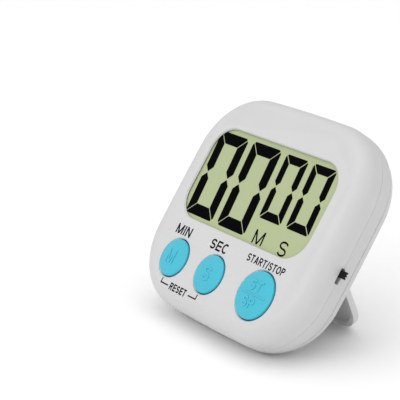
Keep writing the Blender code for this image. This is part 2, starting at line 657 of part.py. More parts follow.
def display_stack(materials):
    """The display: a film on each side of two glass plates, the clamp frame and the connector."""
    top = WINDOW_CENTRE_Z + WINDOW_HEIGHT / 2 + GLASS_BORDER
    low = WINDOW_CENTRE_Z - WINDOW_HEIGHT / 2 - GLASS_BORDER
    half = WINDOW_WIDTH / 2 + GLASS_BORDER
    ledge = low - GLASS_LEDGE
    for name, y, thickness, bottom, kind in (
            ("display_front_film", FRONT_FILM_Y, FILM_THICKNESS, ledge, "film"),
            ("display_front_glass", FRONT_GLASS_Y, GLASS_THICKNESS, ledge, "glass"),
            ("display_rear_glass", REAR_GLASS_Y, GLASS_THICKNESS, low, "glass"),
            ("display_reflector", REFLECTOR_Y, FILM_THICKNESS, low, "film")):
        simple(box(name, (-half, half), (y, y + thickness), (bottom, top)), materials[kind])
    frame = box("display_frame", (-half, half), (FRAME_Y, FRAME_Y + FRAME_THICKNESS), (low, top))
    inner = half - FRAME_BAR
    cut(frame, box("hole", (-inner, inner), (FRAME_Y - OVER, FRAME_Y + FRAME_THICKNESS + OVER),
                   (low + FRAME_BAR, top - FRAME_BAR)))
    simple(frame, materials["white"])
    reach = half - CONNECTOR_MARGIN
    simple(box("elastomer_connector", (-reach, reach), (REAR_GLASS_Y, BOARD_FRONT - GAP),
               (ledge + GAP / 2, low - GAP)), materials["rubber"])


def board_cutters(depth):
    """The clearance holes round the screw bosses, through a sheet between two depths."""
    for x, z in CASE_SCREWS.values():
        yield rod("clear", CASE_BOSS_RADIUS + GAP, x, *depth, z)
    for x, z in BOARD_SCREWS.values():
        yield rod("clear", BOARD_SCREW_SHANK + GAP, x, *depth, z)


def circuit_board(material):
    """The board: the case outline drawn in, with holes for bosses and screws."""
    board = loft("circuit_board", [case_ring(BOARD_INSET, BOARD_FRONT), case_ring(BOARD_INSET, BOARD_BACK)])
    cut(board, *board_cutters((BOARD_FRONT - OVER, BOARD_BACK + OVER)))
    return simple(board, material)


def rubber_keypad(material):
    """The silicone sheet on the board, open round each plunger and each board screw's boss."""
    low = KEY_Z - PLUNGER_RADIUS - KEYPAD_MARGIN
    high = START_KEY_Z + PLUNGER_RADIUS + KEYPAD_MARGIN
    left = MIN_KEY_X - PLUNGER_RADIUS - KEYPAD_MARGIN
    right = START_KEY_X + PLUNGER_RADIUS + KEYPAD_MARGIN
    outline = rounded_rectangle(right - left, high - low, KEYPAD_CORNER,
                                ((left + right) / 2, (low + high) / 2), 3)
    pad = prism("rubber_keypad", outline, KEYPAD_Y, KEYPAD_Y + KEYPAD_THICKNESS)
    for x, z, _ in KEYS.values():
        cut(pad, rod("web", PLUNGER_RADIUS + GAP, x, KEYPAD_Y - OVER, BOARD_FRONT, z))
    for x, z in BOARD_SCREWS.values():
        if z < high:
            cut(pad, rod("clear", BOARD_BOSS_RADIUS + GAP, x, KEYPAD_Y - OVER, BOARD_FRONT, z))
    return simple(pad, material)


def cell_and_contacts(materials):
    """The cell between its spring and its flat contact."""
    start = -TUB_HALF_LENGTH + CONTACT_THICKNESS + GAP + SPRING_LENGTH
    end = start + CELL_LENGTH - CELL_NIPPLE_LENGTH
    rim = CELL_RADIUS - CELL_EDGE
    profile = [(0, start), (rim, start), (CELL_RADIUS, start + CELL_EDGE), (CELL_RADIUS, end - CELL_EDGE),
               (rim, end), (CELL_NIPPLE_RADIUS, end),
               (CELL_NIPPLE_RADIUS, end + CELL_NIPPLE_LENGTH), (0, end + CELL_NIPPLE_LENGTH)]
    simple(turned("aaa_cell", profile, (0, CELL_Y, CELL_Z), along="X"), materials["cell"])
    half = CONTACT_SIZE / 2
    for name, x in (("negative_contact", -TUB_HALF_LENGTH + GAP / 2),
                    ("positive_contact", TUB_HALF_LENGTH - GAP / 2 - CONTACT_THICKNESS)):
        simple(box(name, (x, x + CONTACT_THICKNESS), (CELL_Y - half, CELL_Y + half - CONTACT_TRIM),
                   (CELL_Z - half, CELL_Z + half)), materials["nickel"])
    first = -TUB_HALF_LENGTH + GAP / 2 + CONTACT_THICKNESS + GAP + SPRING_WIRE
    last = start - GAP - SPRING_WIRE
    points = []
    count = SPRING_TURNS * STEPS_SPRING
    for k in range(count + 1):
        t = 2 * math.pi * k / STEPS_SPRING
        radius = SPRING_RADIUS * (1 - SPRING_TAPER * k / count)
        points.append((first + (last - first) * k / count, CELL_Y + radius * math.cos(t),
                       CELL_Z + radius * math.sin(t)))
    wire("contact_spring", points, SPRING_WIRE, materials["nickel"])


def wire(name, points, radius, material, sides=0):
    """A round wire through points in drawing millimetres."""
    curve = bpy.data.curves.new(name, "CURVE")
    curve.dimensions = "3D"
    curve.bevel_depth = radius * MM
    curve.bevel_resolution = sides
    curve.use_fill_caps = True
    spline = curve.splines.new("POLY")
    spline.points.add(len(points) - 1)
    for target, point in zip(spline.points, points):
        target.co = (*[value * MM for value in point], 1.0)
    curve.materials.append(material)
    obj = bpy.data.objects.new(name, curve)
    bpy.context.scene.collection.objects.link(obj)
    return obj


def smooth_path(anchors, steps=4):
    """Points along a smooth curve through the anchors."""
    anchors = [Vector(anchor) for anchor in anchors]
    padded = [anchors[0] * 2 - anchors[1], *anchors, anchors[-1] * 2 - anchors[-2]]
    points = []
    for p0, p1, p2, p3 in zip(padded, padded[1:], padded[2:], padded[3:]):
        for k in range(steps):
            t = k / steps
            points.append(0.5 * (2 * p1 + (p2 - p0) * t + (2 * p0 - 5 * p1 + 4 * p2 - p3) * t ** 2
                                 + (3 * p1 - 3 * p2 + p3 - p0) * t ** 3))
    points.append(anchors[-1])
    return points


def switch_housing(material):
    """The metal-cased slide switch on the edge of the board, open towards the side wall."""
    z = (SLOT_Z - SWITCH_LENGTH / 2, SLOT_Z + SWITCH_LENGTH / 2)
    low = BOARD_BACK + GAP
    housing = box("slide_switch", (SWITCH_MOUTH - SWITCH_HEIGHT, SWITCH_MOUTH), (low, low + SWITCH_DEPTH), z)
    cut(housing, box("way", (SWITCH_MOUTH - KNOB_TAIL - GAP, SWITCH_MOUTH + OVER),
                     (SEAM - KNOB_WIDTH / 2 - GAP, SEAM + KNOB_WIDTH / 2 + GAP),
                     (SLOT_Z - SLOT_LENGTH / 2, SLOT_Z + SLOT_LENGTH / 2)))
    return simple(housing, material)


def on_board(name, centre, size, material):
    """A block soldered on the back of the board, from its middle and its width, depth and height."""
    y = BOARD_BACK + GAP
    width, depth, height = size
    block = box(name, (centre[0] - width / 2, centre[0] + width / 2), (y, y + depth),
                (centre[1] - height / 2, centre[1] + height / 2))
    return simple(block, material)


def board_parts(materials):
    """The parts soldered on the back of the board."""
    y = BOARD_BACK + GAP
    dome = [(0, y), (BLOB_RADIUS, y)]
    for t in (math.pi / 6, math.pi / 3):
        dome.append((BLOB_RADIUS * math.cos(t), y + BLOB_HEIGHT * math.sin(t)))
    dome.append((0, y + BLOB_HEIGHT))
    blob_x, blob_z = BLOB_CENTRE
    simple(turned("controller_blob", dome, (blob_x, 0, blob_z)), materials["epoxy"])
    on_board("quartz_crystal", CRYSTAL_CENTRE, CRYSTAL_SIZE, materials["nickel"])
    for name, x in CAPACITORS_X.items():
        on_board(name, (x, LEAD_LANDING_Z - CAPACITOR_BELOW_LANDING), CAPACITOR_SIZE, materials["ceramic"])
    on_board("sounder_transistor", TRANSISTOR_CENTRE, TRANSISTOR_SIZE, materials["black"])
    back = y + COIL_HEIGHT
    spool = [(0, y), (COIL_RADIUS, y), (COIL_RADIUS, y + COIL_FLANGE), (COIL_WAIST, y + COIL_FLANGE),
             (COIL_WAIST, back - COIL_FLANGE), (COIL_RADIUS, back - COIL_FLANGE), (COIL_RADIUS, back),
             (0, back)]
    coil_x, coil_z = COIL_CENTRE
    simple(turned("sounder_coil", spool, (coil_x, 0, coil_z)), materials["black"])


def sounder(materials):
    """The brass disc and ceramic wafer of the piezo sounder, in its well."""
    floor = RECESS_FLOOR - BACK_WALL
    plate_y = floor - GAP - BRASS_THICKNESS
    wafer_y = plate_y - GAP - CERAMIC_THICKNESS
    simple(rod("sounder_plate", SOUNDER_RADIUS, 0, plate_y, plate_y + BRASS_THICKNESS, SOUNDER_Z, STEPS_KEY),
           materials["brass"])
    simple(rod("sounder_wafer", SOUNDER_RADIUS * WAFER_SHARE, 0, wafer_y, wafer_y + CERAMIC_THICKNESS,
               SOUNDER_Z, STEPS_KEY), materials["wafer"])
    return plate_y, wafer_y


def leads(materials, plate_y, wafer_y):
    """Four thin leads: two from the sounder and two from the cell contacts to the board. The middle
    points of each route are chosen by eye, so that the lead hangs slack."""
    board = BOARD_BACK + 2 * GAP
    middle = (board + wafer_y) / 2
    outside = TUB_HALF_LENGTH + TUB_WALL + LEAD_STANDOFF
    below = LEAD_LANDING_Z + 1
    routes = {
        "sounder_lead_red": ("red", [(2.0, wafer_y - 2 * GAP, SOUNDER_Z), (4.0, middle + 1, SOUNDER_Z + 3),
                                     (9.0, middle - 1, SOUNDER_Z + 2), (13.0, board, SOUNDER_Z)]),
        "sounder_lead_black": ("black", [(-7.6, plate_y - 2 * GAP, SOUNDER_Z),
                                         (-8.4, middle + 1, SOUNDER_Z - 2),
                                         (-10.5, middle - 1, SOUNDER_Z - 3), (-13.0, board, SOUNDER_Z - 1)]),
    }
    for name, colour, side in (("cell_lead_red", "red", 1), ("cell_lead_black", "black", -1)):
        routes[name] = (colour, [(side * outside, CELL_Y - 1, CELL_Z),
                                 (side * (outside + LEAD_BULGE), CELL_Y - 2, CELL_Z - CELL_RADIUS),
                                 (side * outside, middle, below),
                                 (side * (outside - LEAD_RUN), board, LEAD_LANDING_Z)])
    for name, (colour, anchors) in routes.items():
        wire(name, smooth_path(anchors), LEAD_RADIUS, materials[colour])


def screw(name, head, height, shank, x, z, head_y, tip_y, material):
    """A pan-head screw driven from the back, its head's underside at head_y."""
    crown = head_y + height
    profile = [(0, tip_y), (shank / 2, tip_y), (shank, tip_y + shank), (shank, head_y), (head, head_y),
               (head, crown - SCREW_EDGE), (head - SCREW_EDGE, crown), (0, crown)]
    piece = turned(name, profile, (x, 0, z), STEPS_SMALL)
    arm = head * CROSS_REACH
    for wide, high in ((arm, CROSS_HALF_WIDTH), (CROSS_HALF_WIDTH, arm)):
        cut(piece, box("cross", (x - wide, x + wide), (crown - CROSS_DEPTH, crown + OVER),
                       (z - high, z + high)))
    return simple(piece, material)


def fasteners(material):
    """Four screws that close the case and four that hold the board."""
    for place, (x, z) in CASE_SCREWS.items():
        head_y = CASE_DEPTH - CASE_SCREW_HEAD_HEIGHT - 2 * GAP
        screw("case_screw_" + place, CASE_SCREW_HEAD, CASE_SCREW_HEAD_HEIGHT, CASE_SCREW_SHANK, x, z, head_y,
              CASE_SCREW_TIP, material)
    for place, (x, z) in BOARD_SCREWS.items():
        screw("board_screw_" + place, BOARD_SCREW_HEAD, BOARD_SCREW_HEAD_HEIGHT, BOARD_SCREW_SHANK, x, z,
              BOARD_BACK + GAP, BOARD_SCREW_TIP, material)


# Placing

def lowest_of(obj, lean):
    """Height of the lowest point of an object once the drawing leans back."""
    return min((lean @ vertex.co).z for vertex in obj.data.vertices)


def set_origin(obj, point):
    """Moves an object's origin to a point of the drawing and leaves its shape where it is."""
    origin = Vector(point) * MM
    obj.data.transform(Matrix.Translation(-origin))
    obj.location = origin


def stand_angle(lean, floor):
    """How far the stand has to open for the inner edge of its foot to reach the floor. One that is
    too short to reach it opens until it hangs straight down."""
    hinge = (lean @ (Vector((0, HINGE_Y, HINGE_Z)) * MM)).z
    inner = STAND_THICKNESS - HINGE_DEPTH
    reach = math.hypot(STAND_LENGTH, inner) * MM
    drop = min(1.0, (hinge - floor) / reach)
    return math.radians(LEAN) + math.atan2(inner, STAND_LENGTH) + math.acos(drop)


def main():
    """Builds every piece and stands the timer on the floor."""
    for old in list(bpy.data.objects):
        bpy.data.objects.remove(old)
    white = plastic("white_plastic", (0.80, 0.80, 0.80), 0.38)
    blue = plastic("blue_plastic", (0.09, 0.48, 0.62), 0.35)
    black = plastic("black_plastic", (0.02, 0.02, 0.02), 0.45)
    nickel = plastic("nickel", (0.62, 0.60, 0.56), 0.3, 1.0)
    steel = plastic("screw_steel", (0.45, 0.45, 0.46), 0.35, 1.0)
    materials = {
        "white": plastic("frame_plastic", (0.75, 0.75, 0.73), 0.5),
        "film": plastic("display_green", (0.43, 0.49, 0.29), 0.4),
        "glass": plastic("glass", (0.55, 0.62, 0.45), 0.1),
        "rubber": plastic("connector_rubber", (0.60, 0.30, 0.32), 0.7),
        "cell": plastic("cell_sleeve", (0.10, 0.11, 0.13), 0.35),
        "ceramic": plastic("chip_ceramic", (0.52, 0.40, 0.28), 0.5),
        "epoxy": plastic("epoxy", (0.015, 0.015, 0.015), 0.3),
        "brass": plastic("brass", (0.72, 0.50, 0.18), 0.3, 1.0),
        "wafer": plastic("wafer_ceramic", (0.78, 0.76, 0.70), 0.4),
        "red": plastic("red_insulation", (0.50, 0.02, 0.02), 0.5),
        "black": black,
        "nickel": nickel,
    }
    front_half = front_shell(white)
    rear_half = rear_shell(white)
    stand = folding_stand(plastic("stand_plastic", (0.78, 0.78, 0.78), 0.4))
    door = battery_door(plastic("door_plastic", (0.79, 0.79, 0.79), 0.4))
    for name, (x, z, radius) in KEYS.items():
        cap = key_cap(name + "_button", x, z, radius, blue)
        set_origin(cap, (x, 0, z))
        plunger = rod(name + "_plunger", PLUNGER_RADIUS, x, PLUNGER_Y, PLUNGER_Y + PLUNGER_THICKNESS, z)
        simple(plunger, black)
        set_origin(plunger, (x, PLUNGER_Y, z))
    knob = switch_knob(black)
    set_origin(knob, (CASE_WIDTH / 2, SEAM, SLOT_Z))
    switch_housing(nickel)
    display_stack(materials)
    circuit_board(plastic("board_laminate", (0.05, 0.22, 0.09), 0.45))
    rubber_keypad(plastic("keypad_silicone", (0.55, 0.56, 0.57), 0.7))
    cell_and_contacts(materials)
    board_parts(materials)
    leads(materials, *sounder(materials))
    fasteners(steel)
    magnet_metal = plastic("magnet_plate", (0.50, 0.50, 0.50), 0.25, 1.0)
    for name, side in (("magnet_left", -1), ("magnet_right", 1)):
        back = CASE_DEPTH - GAP
        simple(rod(name, MAGNET_RADIUS, side * MAGNET_X, back - MAGNET_THICKNESS, back, MAGNET_Z, STEPS_KEY),
               magnet_metal)

    lean = Matrix.Rotation(-math.radians(LEAN), 4, "X")
    floor = min(lowest_of(front_half, lean), lowest_of(rear_half, lean))
    set_origin(stand, (0, HINGE_Y, HINGE_Z))
    stand.rotation_euler.x = stand_angle(lean, floor)
    set_origin(door, (-DOOR_HALF_LENGTH - GAP / 2, CASE_DEPTH, CELL_Z))

    rest = bpy.data.objects.new("leaning_timer", None)
    bpy.context.scene.collection.objects.link(rest)
    for obj in bpy.context.scene.collection.objects:
        if obj is not rest:
            obj.parent = rest
    rest.rotation_euler.x = -math.radians(LEAN)
    bpy.context.view_layer.update()
    corners = [obj.matrix_world @ vertex.co for obj in rest.children if obj.type == "MESH"
               for vertex in obj.data.vertices]
    for axis in (0, 1):
        values = [corner[axis] for corner in corners]
        rest.location[axis] = -(min(values) + max(values)) / 2
    rest.location.z = -floor
    for obj in bpy.context.scene.collection.objects:
        if obj.type == "MESH":
            obj.data.shade_smooth()
            obj.data.set_sharp_from_angle(angle=math.radians(SHARP_EDGE))


main()
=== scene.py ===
"""A digital countdown timer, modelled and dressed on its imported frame.

Every piece is drawn lying on its back on the bench, in millimetres: X to the timer's right, Y up
its face and Z out of the face, with the face plane at height 0. A placement then stands it up on
the leaning case, in metres.
"""

import logging
import math
from collections.abc import Callable, Iterator, Sequence
from contextlib import contextmanager
from dataclasses import dataclass, field
from enum import Enum
from functools import partial

import bpy
from mathutils import Matrix, Vector


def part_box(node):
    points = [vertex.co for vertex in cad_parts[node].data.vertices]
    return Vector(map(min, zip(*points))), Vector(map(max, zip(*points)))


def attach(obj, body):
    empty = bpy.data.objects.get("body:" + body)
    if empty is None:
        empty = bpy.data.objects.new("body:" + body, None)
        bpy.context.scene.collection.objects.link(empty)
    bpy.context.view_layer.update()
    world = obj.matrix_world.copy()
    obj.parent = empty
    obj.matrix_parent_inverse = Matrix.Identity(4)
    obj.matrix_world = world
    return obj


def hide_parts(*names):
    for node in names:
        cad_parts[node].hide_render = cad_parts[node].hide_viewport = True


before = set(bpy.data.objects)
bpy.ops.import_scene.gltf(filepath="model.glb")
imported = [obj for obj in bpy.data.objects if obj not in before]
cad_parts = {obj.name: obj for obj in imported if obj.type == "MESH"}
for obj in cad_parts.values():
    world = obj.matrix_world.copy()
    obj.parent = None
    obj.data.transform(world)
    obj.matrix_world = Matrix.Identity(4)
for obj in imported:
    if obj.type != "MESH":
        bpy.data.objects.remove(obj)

log = logging.getLogger("timer")

Point = tuple[float, float]
Outline = list[Point]
Step = tuple[float, float]
Colour = tuple[float, float, float]

MM = 0.001          # one millimetre in metres
TINY = 1e-6         # less than this is no inset and no rise
MERGED = 1e-5       # points nearer than this become one
NEAR = 0.01         # heights nearer than this are the same
FACING = 0.9        # share of a normal along Z that makes a face level
OVER = 1.0          # how far a tool runs past what it cuts
ARC_STEPS = 6       # facets of the rounded back edge in front of its step
NOISE_RANGE = (0.3, 0.7)


class Body(Enum):
    """The bodies that pieces ride on."""

    CASE = "case"
    STAND = "stand"
    DOOR = "cell_door"
    SWITCH = "power_switch"
    MIN_KEY = "min_key"
    SEC_KEY = "sec_key"
    START_KEY = "start_stop_key"


class Work(Enum):
    """What a cutting tool does to a piece."""

    CUT = "DIFFERENCE"
    ADD = "UNION"


@dataclass(frozen=True)
class Sizes:
    """Sizes that several pieces share, in millimetres. Depths count from the face to the back."""

    width: float = 75.4
    height: float = 68.3
    depth: float = 19.0
    corner: float = 20.5
    bow: float = 640.0
    seam: float = 8.4
    seam_gap: float = 0.07
    clearance: float = 0.3
    side_wall: float = 1.8
    front_wall: float = 1.8
    back_wall: float = 1.2
    lean: float = 34.0
    hinge_height: float = -1.0
    hinge_depth: float = 17.75
    stand_half_width: float = 23.0
    stand_length: float = 26.1
    stand_radius: float = 8.0
    stand_thickness: float = 2.0
    heel_half_width: float = 18.0
    heel: float = 1.9
    pin_radius: float = 0.65
    pin_length: float = 1.2
    cell_height: float = 13.0
    cell_depth: float = 12.25
    cell_radius: float = 5.25
    tub_half_length: float = 24.95
    tub_half_width: float = 5.55
    door_inner: float = 17.8
    door_half_length: float = 25.85
    door_half_width: float = 6.45
    magnet_x: float = 27.9
    magnet_height: float = -6.5
    magnet_radius: float = 3.5
    magnet_thickness: float = 2.0
    case_screws: tuple[Point, ...] = ((-19.8, 25.85), (19.8, 25.85), (-29.7, -14.5), (29.7, -14.5))
    slot_height: float = -5.5
    slot_length: float = 4.65
    slot_width: float = 1.5
    film: tuple[float, float, float] = (0.0, 5.6, -0.9)


SIZES = Sizes()
BEHIND = SIZES.depth + OVER


# Outlines

def circle(radius: float, centre: Point = (0.0, 0.0), count: int = 64) -> Outline:
    """A circle as a list of points.

    Args:
        radius: Its radius.
        centre: Its middle.
        count: How many points.

    Returns:
        The points, anticlockwise.
    """
    turns = [2 * math.pi * k / count for k in range(count)]
    return [(centre[0] + radius * math.cos(t), centre[1] + radius * math.sin(t)) for t in turns]


def rounded(
    width: float, height: float, radius: float, centre: Point = (0.0, 0.0), steps: int = 12
) -> Outline:
    """A rectangle with round corners.

    Args:
        width: Its full width.
        height: Its full height.
        radius: The radius of each corner.
        centre: Its middle.
        steps: Facets in each corner.

    Returns:
        The points, anticlockwise.
    """
    points: Outline = []
    for quarter, (sx, sy) in enumerate(((1, 1), (-1, 1), (-1, -1), (1, -1))):
        cx = centre[0] + sx * (width / 2 - radius)
        cy = centre[1] + sy * (height / 2 - radius)
        for k in range(steps + 1):
            turn = math.pi / 2 * (quarter + k / steps)
            points.append((cx + radius * math.cos(turn), cy + radius * math.sin(turn)))
    return points


def block(x: Point, y: Point) -> Outline:
    """A rectangle between limits."""
    return [(x[0], y[0]), (x[1], y[0]), (x[1], y[1]), (x[0], y[1])]


def case_outline(inset: float, corner_steps: int = 22, side_steps: int = 8) -> Outline:
    """The outline of the case, with bowed sides that run smoothly into its corners.

    Args:
        inset: How far inside the case the outline lies.
        corner_steps: Facets in each corner.
        side_steps: Facets in half of each side.

    Returns:
        The points, anticlockwise.
    """
    side_x = SIZES.width / 2 - SIZES.bow
    top_y = SIZES.height / 2 - SIZES.bow
    reach = SIZES.bow - SIZES.corner
    middle = Vector((side_x, top_y)) / 2
    across = Vector((abs(top_y), abs(side_x))).normalized()
    corner = middle + across * math.sqrt(reach**2 - middle.length**2)
    low = math.atan2(corner.y, corner.x - side_x)
    high = math.atan2(corner.y - top_y, corner.x)
    bow, turn = SIZES.bow - inset, SIZES.corner - inset
    quarter = [
        (side_x + bow * math.cos(low * k / side_steps), bow * math.sin(low * k / side_steps))
        for k in range(side_steps)
    ]
    for k in range(corner_steps + 1):
        t = low + (high - low) * k / corner_steps
        quarter.append((corner.x + turn * math.cos(t), corner.y + turn * math.sin(t)))
    for k in range(1, side_steps + 1):
        t = high + (math.pi / 2 - high) * k / side_steps
        quarter.append((bow * math.cos(t), top_y + bow * math.sin(t)))
    upper = quarter + [(-x, y) for x, y in reversed(quarter[:-1])]
    return upper + [(x, -y) for x, y in reversed(upper[1:-1])]


def stand_outline(grow: float, top: float, steps: int = 14) -> Outline:
    """The outline of the stand, straight at its hinge and round at its foot.

    Args:
        grow: How far outside the stand the outline lies.
        top: Height of the straight edge.
        steps: Facets in each round corner.

    Returns:
        The points, anticlockwise.
    """
    width = SIZES.stand_half_width + grow
    low = SIZES.hinge_height - SIZES.stand_length - grow
    radius = SIZES.stand_radius + grow
    points: Outline = [(width, top), (-width, top)]
    for side, start in ((-1, math.pi), (1, 1.5 * math.pi)):
        for k in range(steps + 1):
            t = start + math.pi / 2 * k / steps
            x = side * (width - radius) + radius * math.cos(t)
            points.append((x, low + radius + radius * math.sin(t)))
    return points


def quarter_round(inset: float, rise: float, steps: int) -> list[Step]:
    """Steps of a quarter ellipse that starts along the walls and ends flat.

    Args:
        inset: How far it goes in.
        rise: How far it goes up.
        steps: How many facets.

    Returns:
        Pairs of inset and rise, one for each facet.
    """
    turns = [math.pi / 2 * k / steps for k in range(steps + 1)]
    return [
        (inset * (math.cos(a) - math.cos(b)), rise * (math.sin(b) - math.sin(a)))
        for a, b in zip(turns, turns[1:])
    ]


# Modelling

class Bench:
    """Steps that shape a piece on the bench."""

    @staticmethod
    def focus(obj: bpy.types.Object) -> None:
        """Selects one object only and makes it the active one."""
        bpy.ops.object.select_all(action="DESELECT")
        obj.select_set(True)
        bpy.context.view_layer.objects.active = obj

    @staticmethod
    def pick(obj: bpy.types.Object, wanted: Callable[[Vector, Vector], bool]) -> None:
        """Selects the faces whose middle and normal are wanted."""
        mesh = obj.data
        mesh.vertices.foreach_set("select", [False] * len(mesh.vertices))
        mesh.edges.foreach_set("select", [False] * len(mesh.edges))
        for face in mesh.polygons:
            face.select = wanted(face.center, face.normal)

    @staticmethod
    def level_at(height: float, facing: int) -> Callable[[Vector, Vector], bool]:
        """A test for the level faces at a height that look up (1) or down (-1)."""
        return lambda middle, normal: abs(middle.z - height) < NEAR and normal.z * facing > FACING

    @classmethod
    @contextmanager
    def editing(cls, obj: bpy.types.Object) -> Iterator[None]:
        """Edit mode on one object, with its picked faces selected."""
        cls.focus(obj)
        bpy.context.tool_settings.mesh_select_mode = (False, False, True)
        bpy.ops.object.mode_set(mode="EDIT")
        try:
            yield
        finally:
            bpy.ops.object.mode_set(mode="OBJECT")

    @classmethod
    def plate(cls, name: str, outline: Outline, depth: float, facing: int) -> bpy.types.Object:
        """A flat face to start a piece from.

        Args:
            name: Name of the new object.
            outline: Its outline.
            depth: How far behind the face plane it lies.
            facing: 1 where its front looks out of the timer's face, -1 where it looks to the back.

        Returns:
            The new object.
        """
        bpy.ops.object.select_all(action="DESELECT")
        bpy.ops.mesh.primitive_circle_add(vertices=len(outline), radius=1.0, fill_type="NGON")
        obj = bpy.context.active_object
        obj.name = obj.data.name = name
        for vertex, (x, y) in zip(obj.data.vertices, outline):
            vertex.co = (x, y, -depth)
        obj.data.update()
        cls.pick(obj, lambda middle, normal: True)
        if obj.data.polygons[0].normal.z * facing < 0:
            with cls.editing(obj):
                bpy.ops.mesh.flip_normals()
        return obj

    @classmethod
    def grow(cls, obj: bpy.types.Object, steps: Sequence[Step], facing: int) -> None:
        """Extrudes and insets the picked face.

        Args:
            obj: The object.
            steps: Pairs of inset and rise.
            facing: 1 where the picked face looks up, -1 where it looks down.
        """
        with cls.editing(obj):
            for inset, rise in steps:
                if inset < TINY:
                    move = {"value": (0, 0, rise * facing)}
                    bpy.ops.mesh.extrude_region_move(TRANSFORM_OT_translate=move)
                else:
                    bpy.ops.mesh.inset(thickness=inset, depth=rise, use_even_offset=True)

    @classmethod
    def close(cls, obj: bpy.types.Object) -> bpy.types.Object:
        """Merges doubled points and turns every face outwards."""
        with cls.editing(obj):
            bpy.ops.mesh.select_all(action="SELECT")
            bpy.ops.mesh.remove_doubles(threshold=MERGED)
            bpy.ops.mesh.normals_make_consistent(inside=False)
        return obj

    @classmethod
    def sweep(
        cls, name: str, outline: Outline, depth: float, steps: Sequence[Step], facing: int = 1
    ) -> bpy.types.Object:
        """A closed solid that rises from an outline by extrusions and insets.

        Args:
            name: Name of the new object.
            outline: The outline that it starts from.
            depth: Where it starts, behind the face plane.
            steps: Pairs of inset and rise.
            facing: 1 where it rises towards the face, -1 where it rises towards the back.

        Returns:
            The new object.
        """
        obj = cls.plate(name, outline, depth, facing)
        cls.grow(obj, steps, facing)
        return cls.close(obj)

    @classmethod
    def prism(cls, name: str, outline: Outline, front: float, back: float) -> bpy.types.Object:
        """A straight solid between two depths."""
        return cls.sweep(name, outline, front, [(0.0, back - front)], -1)

    @classmethod
    def modify(cls, obj: bpy.types.Object, kind: str, **settings: object) -> None:
        """Adds a modifier with these settings and applies it."""
        cls.focus(obj)
        modifier = obj.modifiers.new(kind.lower(), kind)
        for key, value in settings.items():
            setattr(modifier, key, value)
        bpy.ops.object.modifier_apply(modifier=modifier.name)

    @classmethod
    def work(cls, obj: bpy.types.Object, work: Work, *tools: bpy.types.Object) -> bpy.types.Object:
        """Cuts tools out of a piece or adds them to it, and removes the tools."""
        for tool in tools:
            cls.modify(obj, "BOOLEAN", operation=work.value, solver="EXACT", object=tool)
            bpy.data.objects.remove(tool)
        return obj

    @classmethod
    def cut(cls, obj: bpy.types.Object, outline: Outline, front: float, back: float) -> None:
        """Cuts a straight hole between two depths."""
        cls.work(obj, Work.CUT, cls.prism("hole", outline, front, back))

    @classmethod
    def add(cls, obj: bpy.types.Object, outline: Outline, front: float, back: float) -> None:
        """Adds a straight block between two depths."""
        cls.work(obj, Work.ADD, cls.prism("block", outline, front, back))

    @classmethod
    def flared(cls, outline: Outline, edge: float, reach: float = 3.0) -> bpy.types.Object:
        """A tool for an opening in the face whose rim is rounded by edge, which its outline includes."""
        flare = [(inset, rise) for rise, inset in reversed(quarter_round(edge, edge, 4))]
        return cls.sweep("opening", outline, -OVER, [(0.0, OVER), *flare, (0.0, reach)], -1)

    @staticmethod
    def hinge_rod(radius: float, half: float, count: int) -> bpy.types.Object:
        """A round rod along the stand's hinge, with this radius, half length and number of sides."""
        bpy.ops.object.select_all(action="DESELECT")
        bpy.ops.mesh.primitive_cylinder_add(
            vertices=count, radius=radius, depth=2 * half,
            location=(0.0, SIZES.hinge_height, -SIZES.hinge_depth), rotation=(0.0, math.pi / 2, 0.0),
        )
        return bpy.context.active_object

    @classmethod
    def soften(cls, obj: bpy.types.Object, width: float, segments: int = 3, sharp: float = 40.0) -> None:
        """Rounds the edges of a piece that turn by more than an angle in degrees."""
        cls.modify(
            obj, "BEVEL", width=width, segments=segments, limit_method="ANGLE",
            angle_limit=math.radians(sharp), use_clamp_overlap=True,
        )

    @classmethod
    def merge(cls, name: str, pieces: Sequence[bpy.types.Object]) -> bpy.types.Object:
        """Joins separate pieces into one object."""
        cls.focus(pieces[0])
        for piece in pieces:
            piece.select_set(True)
        bpy.ops.object.join()
        pieces[0].name = pieces[0].data.name = name
        return pieces[0]

    @classmethod
    def word(cls, name: str, text: str, centre: Point, size: Point, ink: "Pen") -> bpy.types.Object:
        """Raised letters that fill a given width and height.

        Args:
            name: Name of the new object.
            text: The letters.
            centre: Middle of the word.
            size: Width and height of the word.
            ink: What they are drawn with.

        Returns:
            The new object.
        """
        widths = [Glyphs.WIDTHS[letter] for letter in text]
        share = size[0] / (sum(widths) + Glyphs.SPACE * (len(text) - 1))
        x = centre[0] - size[0] / 2
        parts = []
        for letter, width in zip(text, widths):
            for stroke in Glyphs.strokes(letter, width * share, size[1], ink.stroke / 2):
                level = [(dx, dy - size[1] / 2) for dx, dy in stroke]
                outline = dense([(x + dx - ink.slant * dy, centre[1] + dy) for dx, dy in level], ink.pitch)
                parts.append(cls.sweep(name, outline, ink.depth, [(0.0, ink.thickness)]))
            x += (width + Glyphs.SPACE) * share
        return cls.work(parts[0], Work.ADD, *parts[1:])


@dataclass(frozen=True)
class Pen:
    """How letters are drawn.

    Attributes:
        stroke: Width of a stroke.
        depth: Where their underside lies, behind the face plane.
        thickness: How far they rise.
        slant: How far their tops lean to the left, as a share of their height.
        pitch: Longest stretch of outline without a point.
    """

    stroke: float
    depth: float
    thickness: float
    slant: float = 0.0
    pitch: float = 50.0


def dense(outline: Outline, pitch: float) -> Outline:
    """Adds points to an outline, so that it can follow a curved surface.

    Args:
        outline: The outline.
        pitch: The longest stretch that is left without a point.

    Returns:
        The same outline with more points.
    """
    points: Outline = []
    for (ax, ay), (bx, by) in zip(outline, outline[1:] + outline[:1]):
        count = max(1, math.ceil(math.hypot(bx - ax, by - ay) / pitch))
        points += [(ax + (bx - ax) * k / count, ay + (by - ay) * k / count) for k in range(count)]
    return points


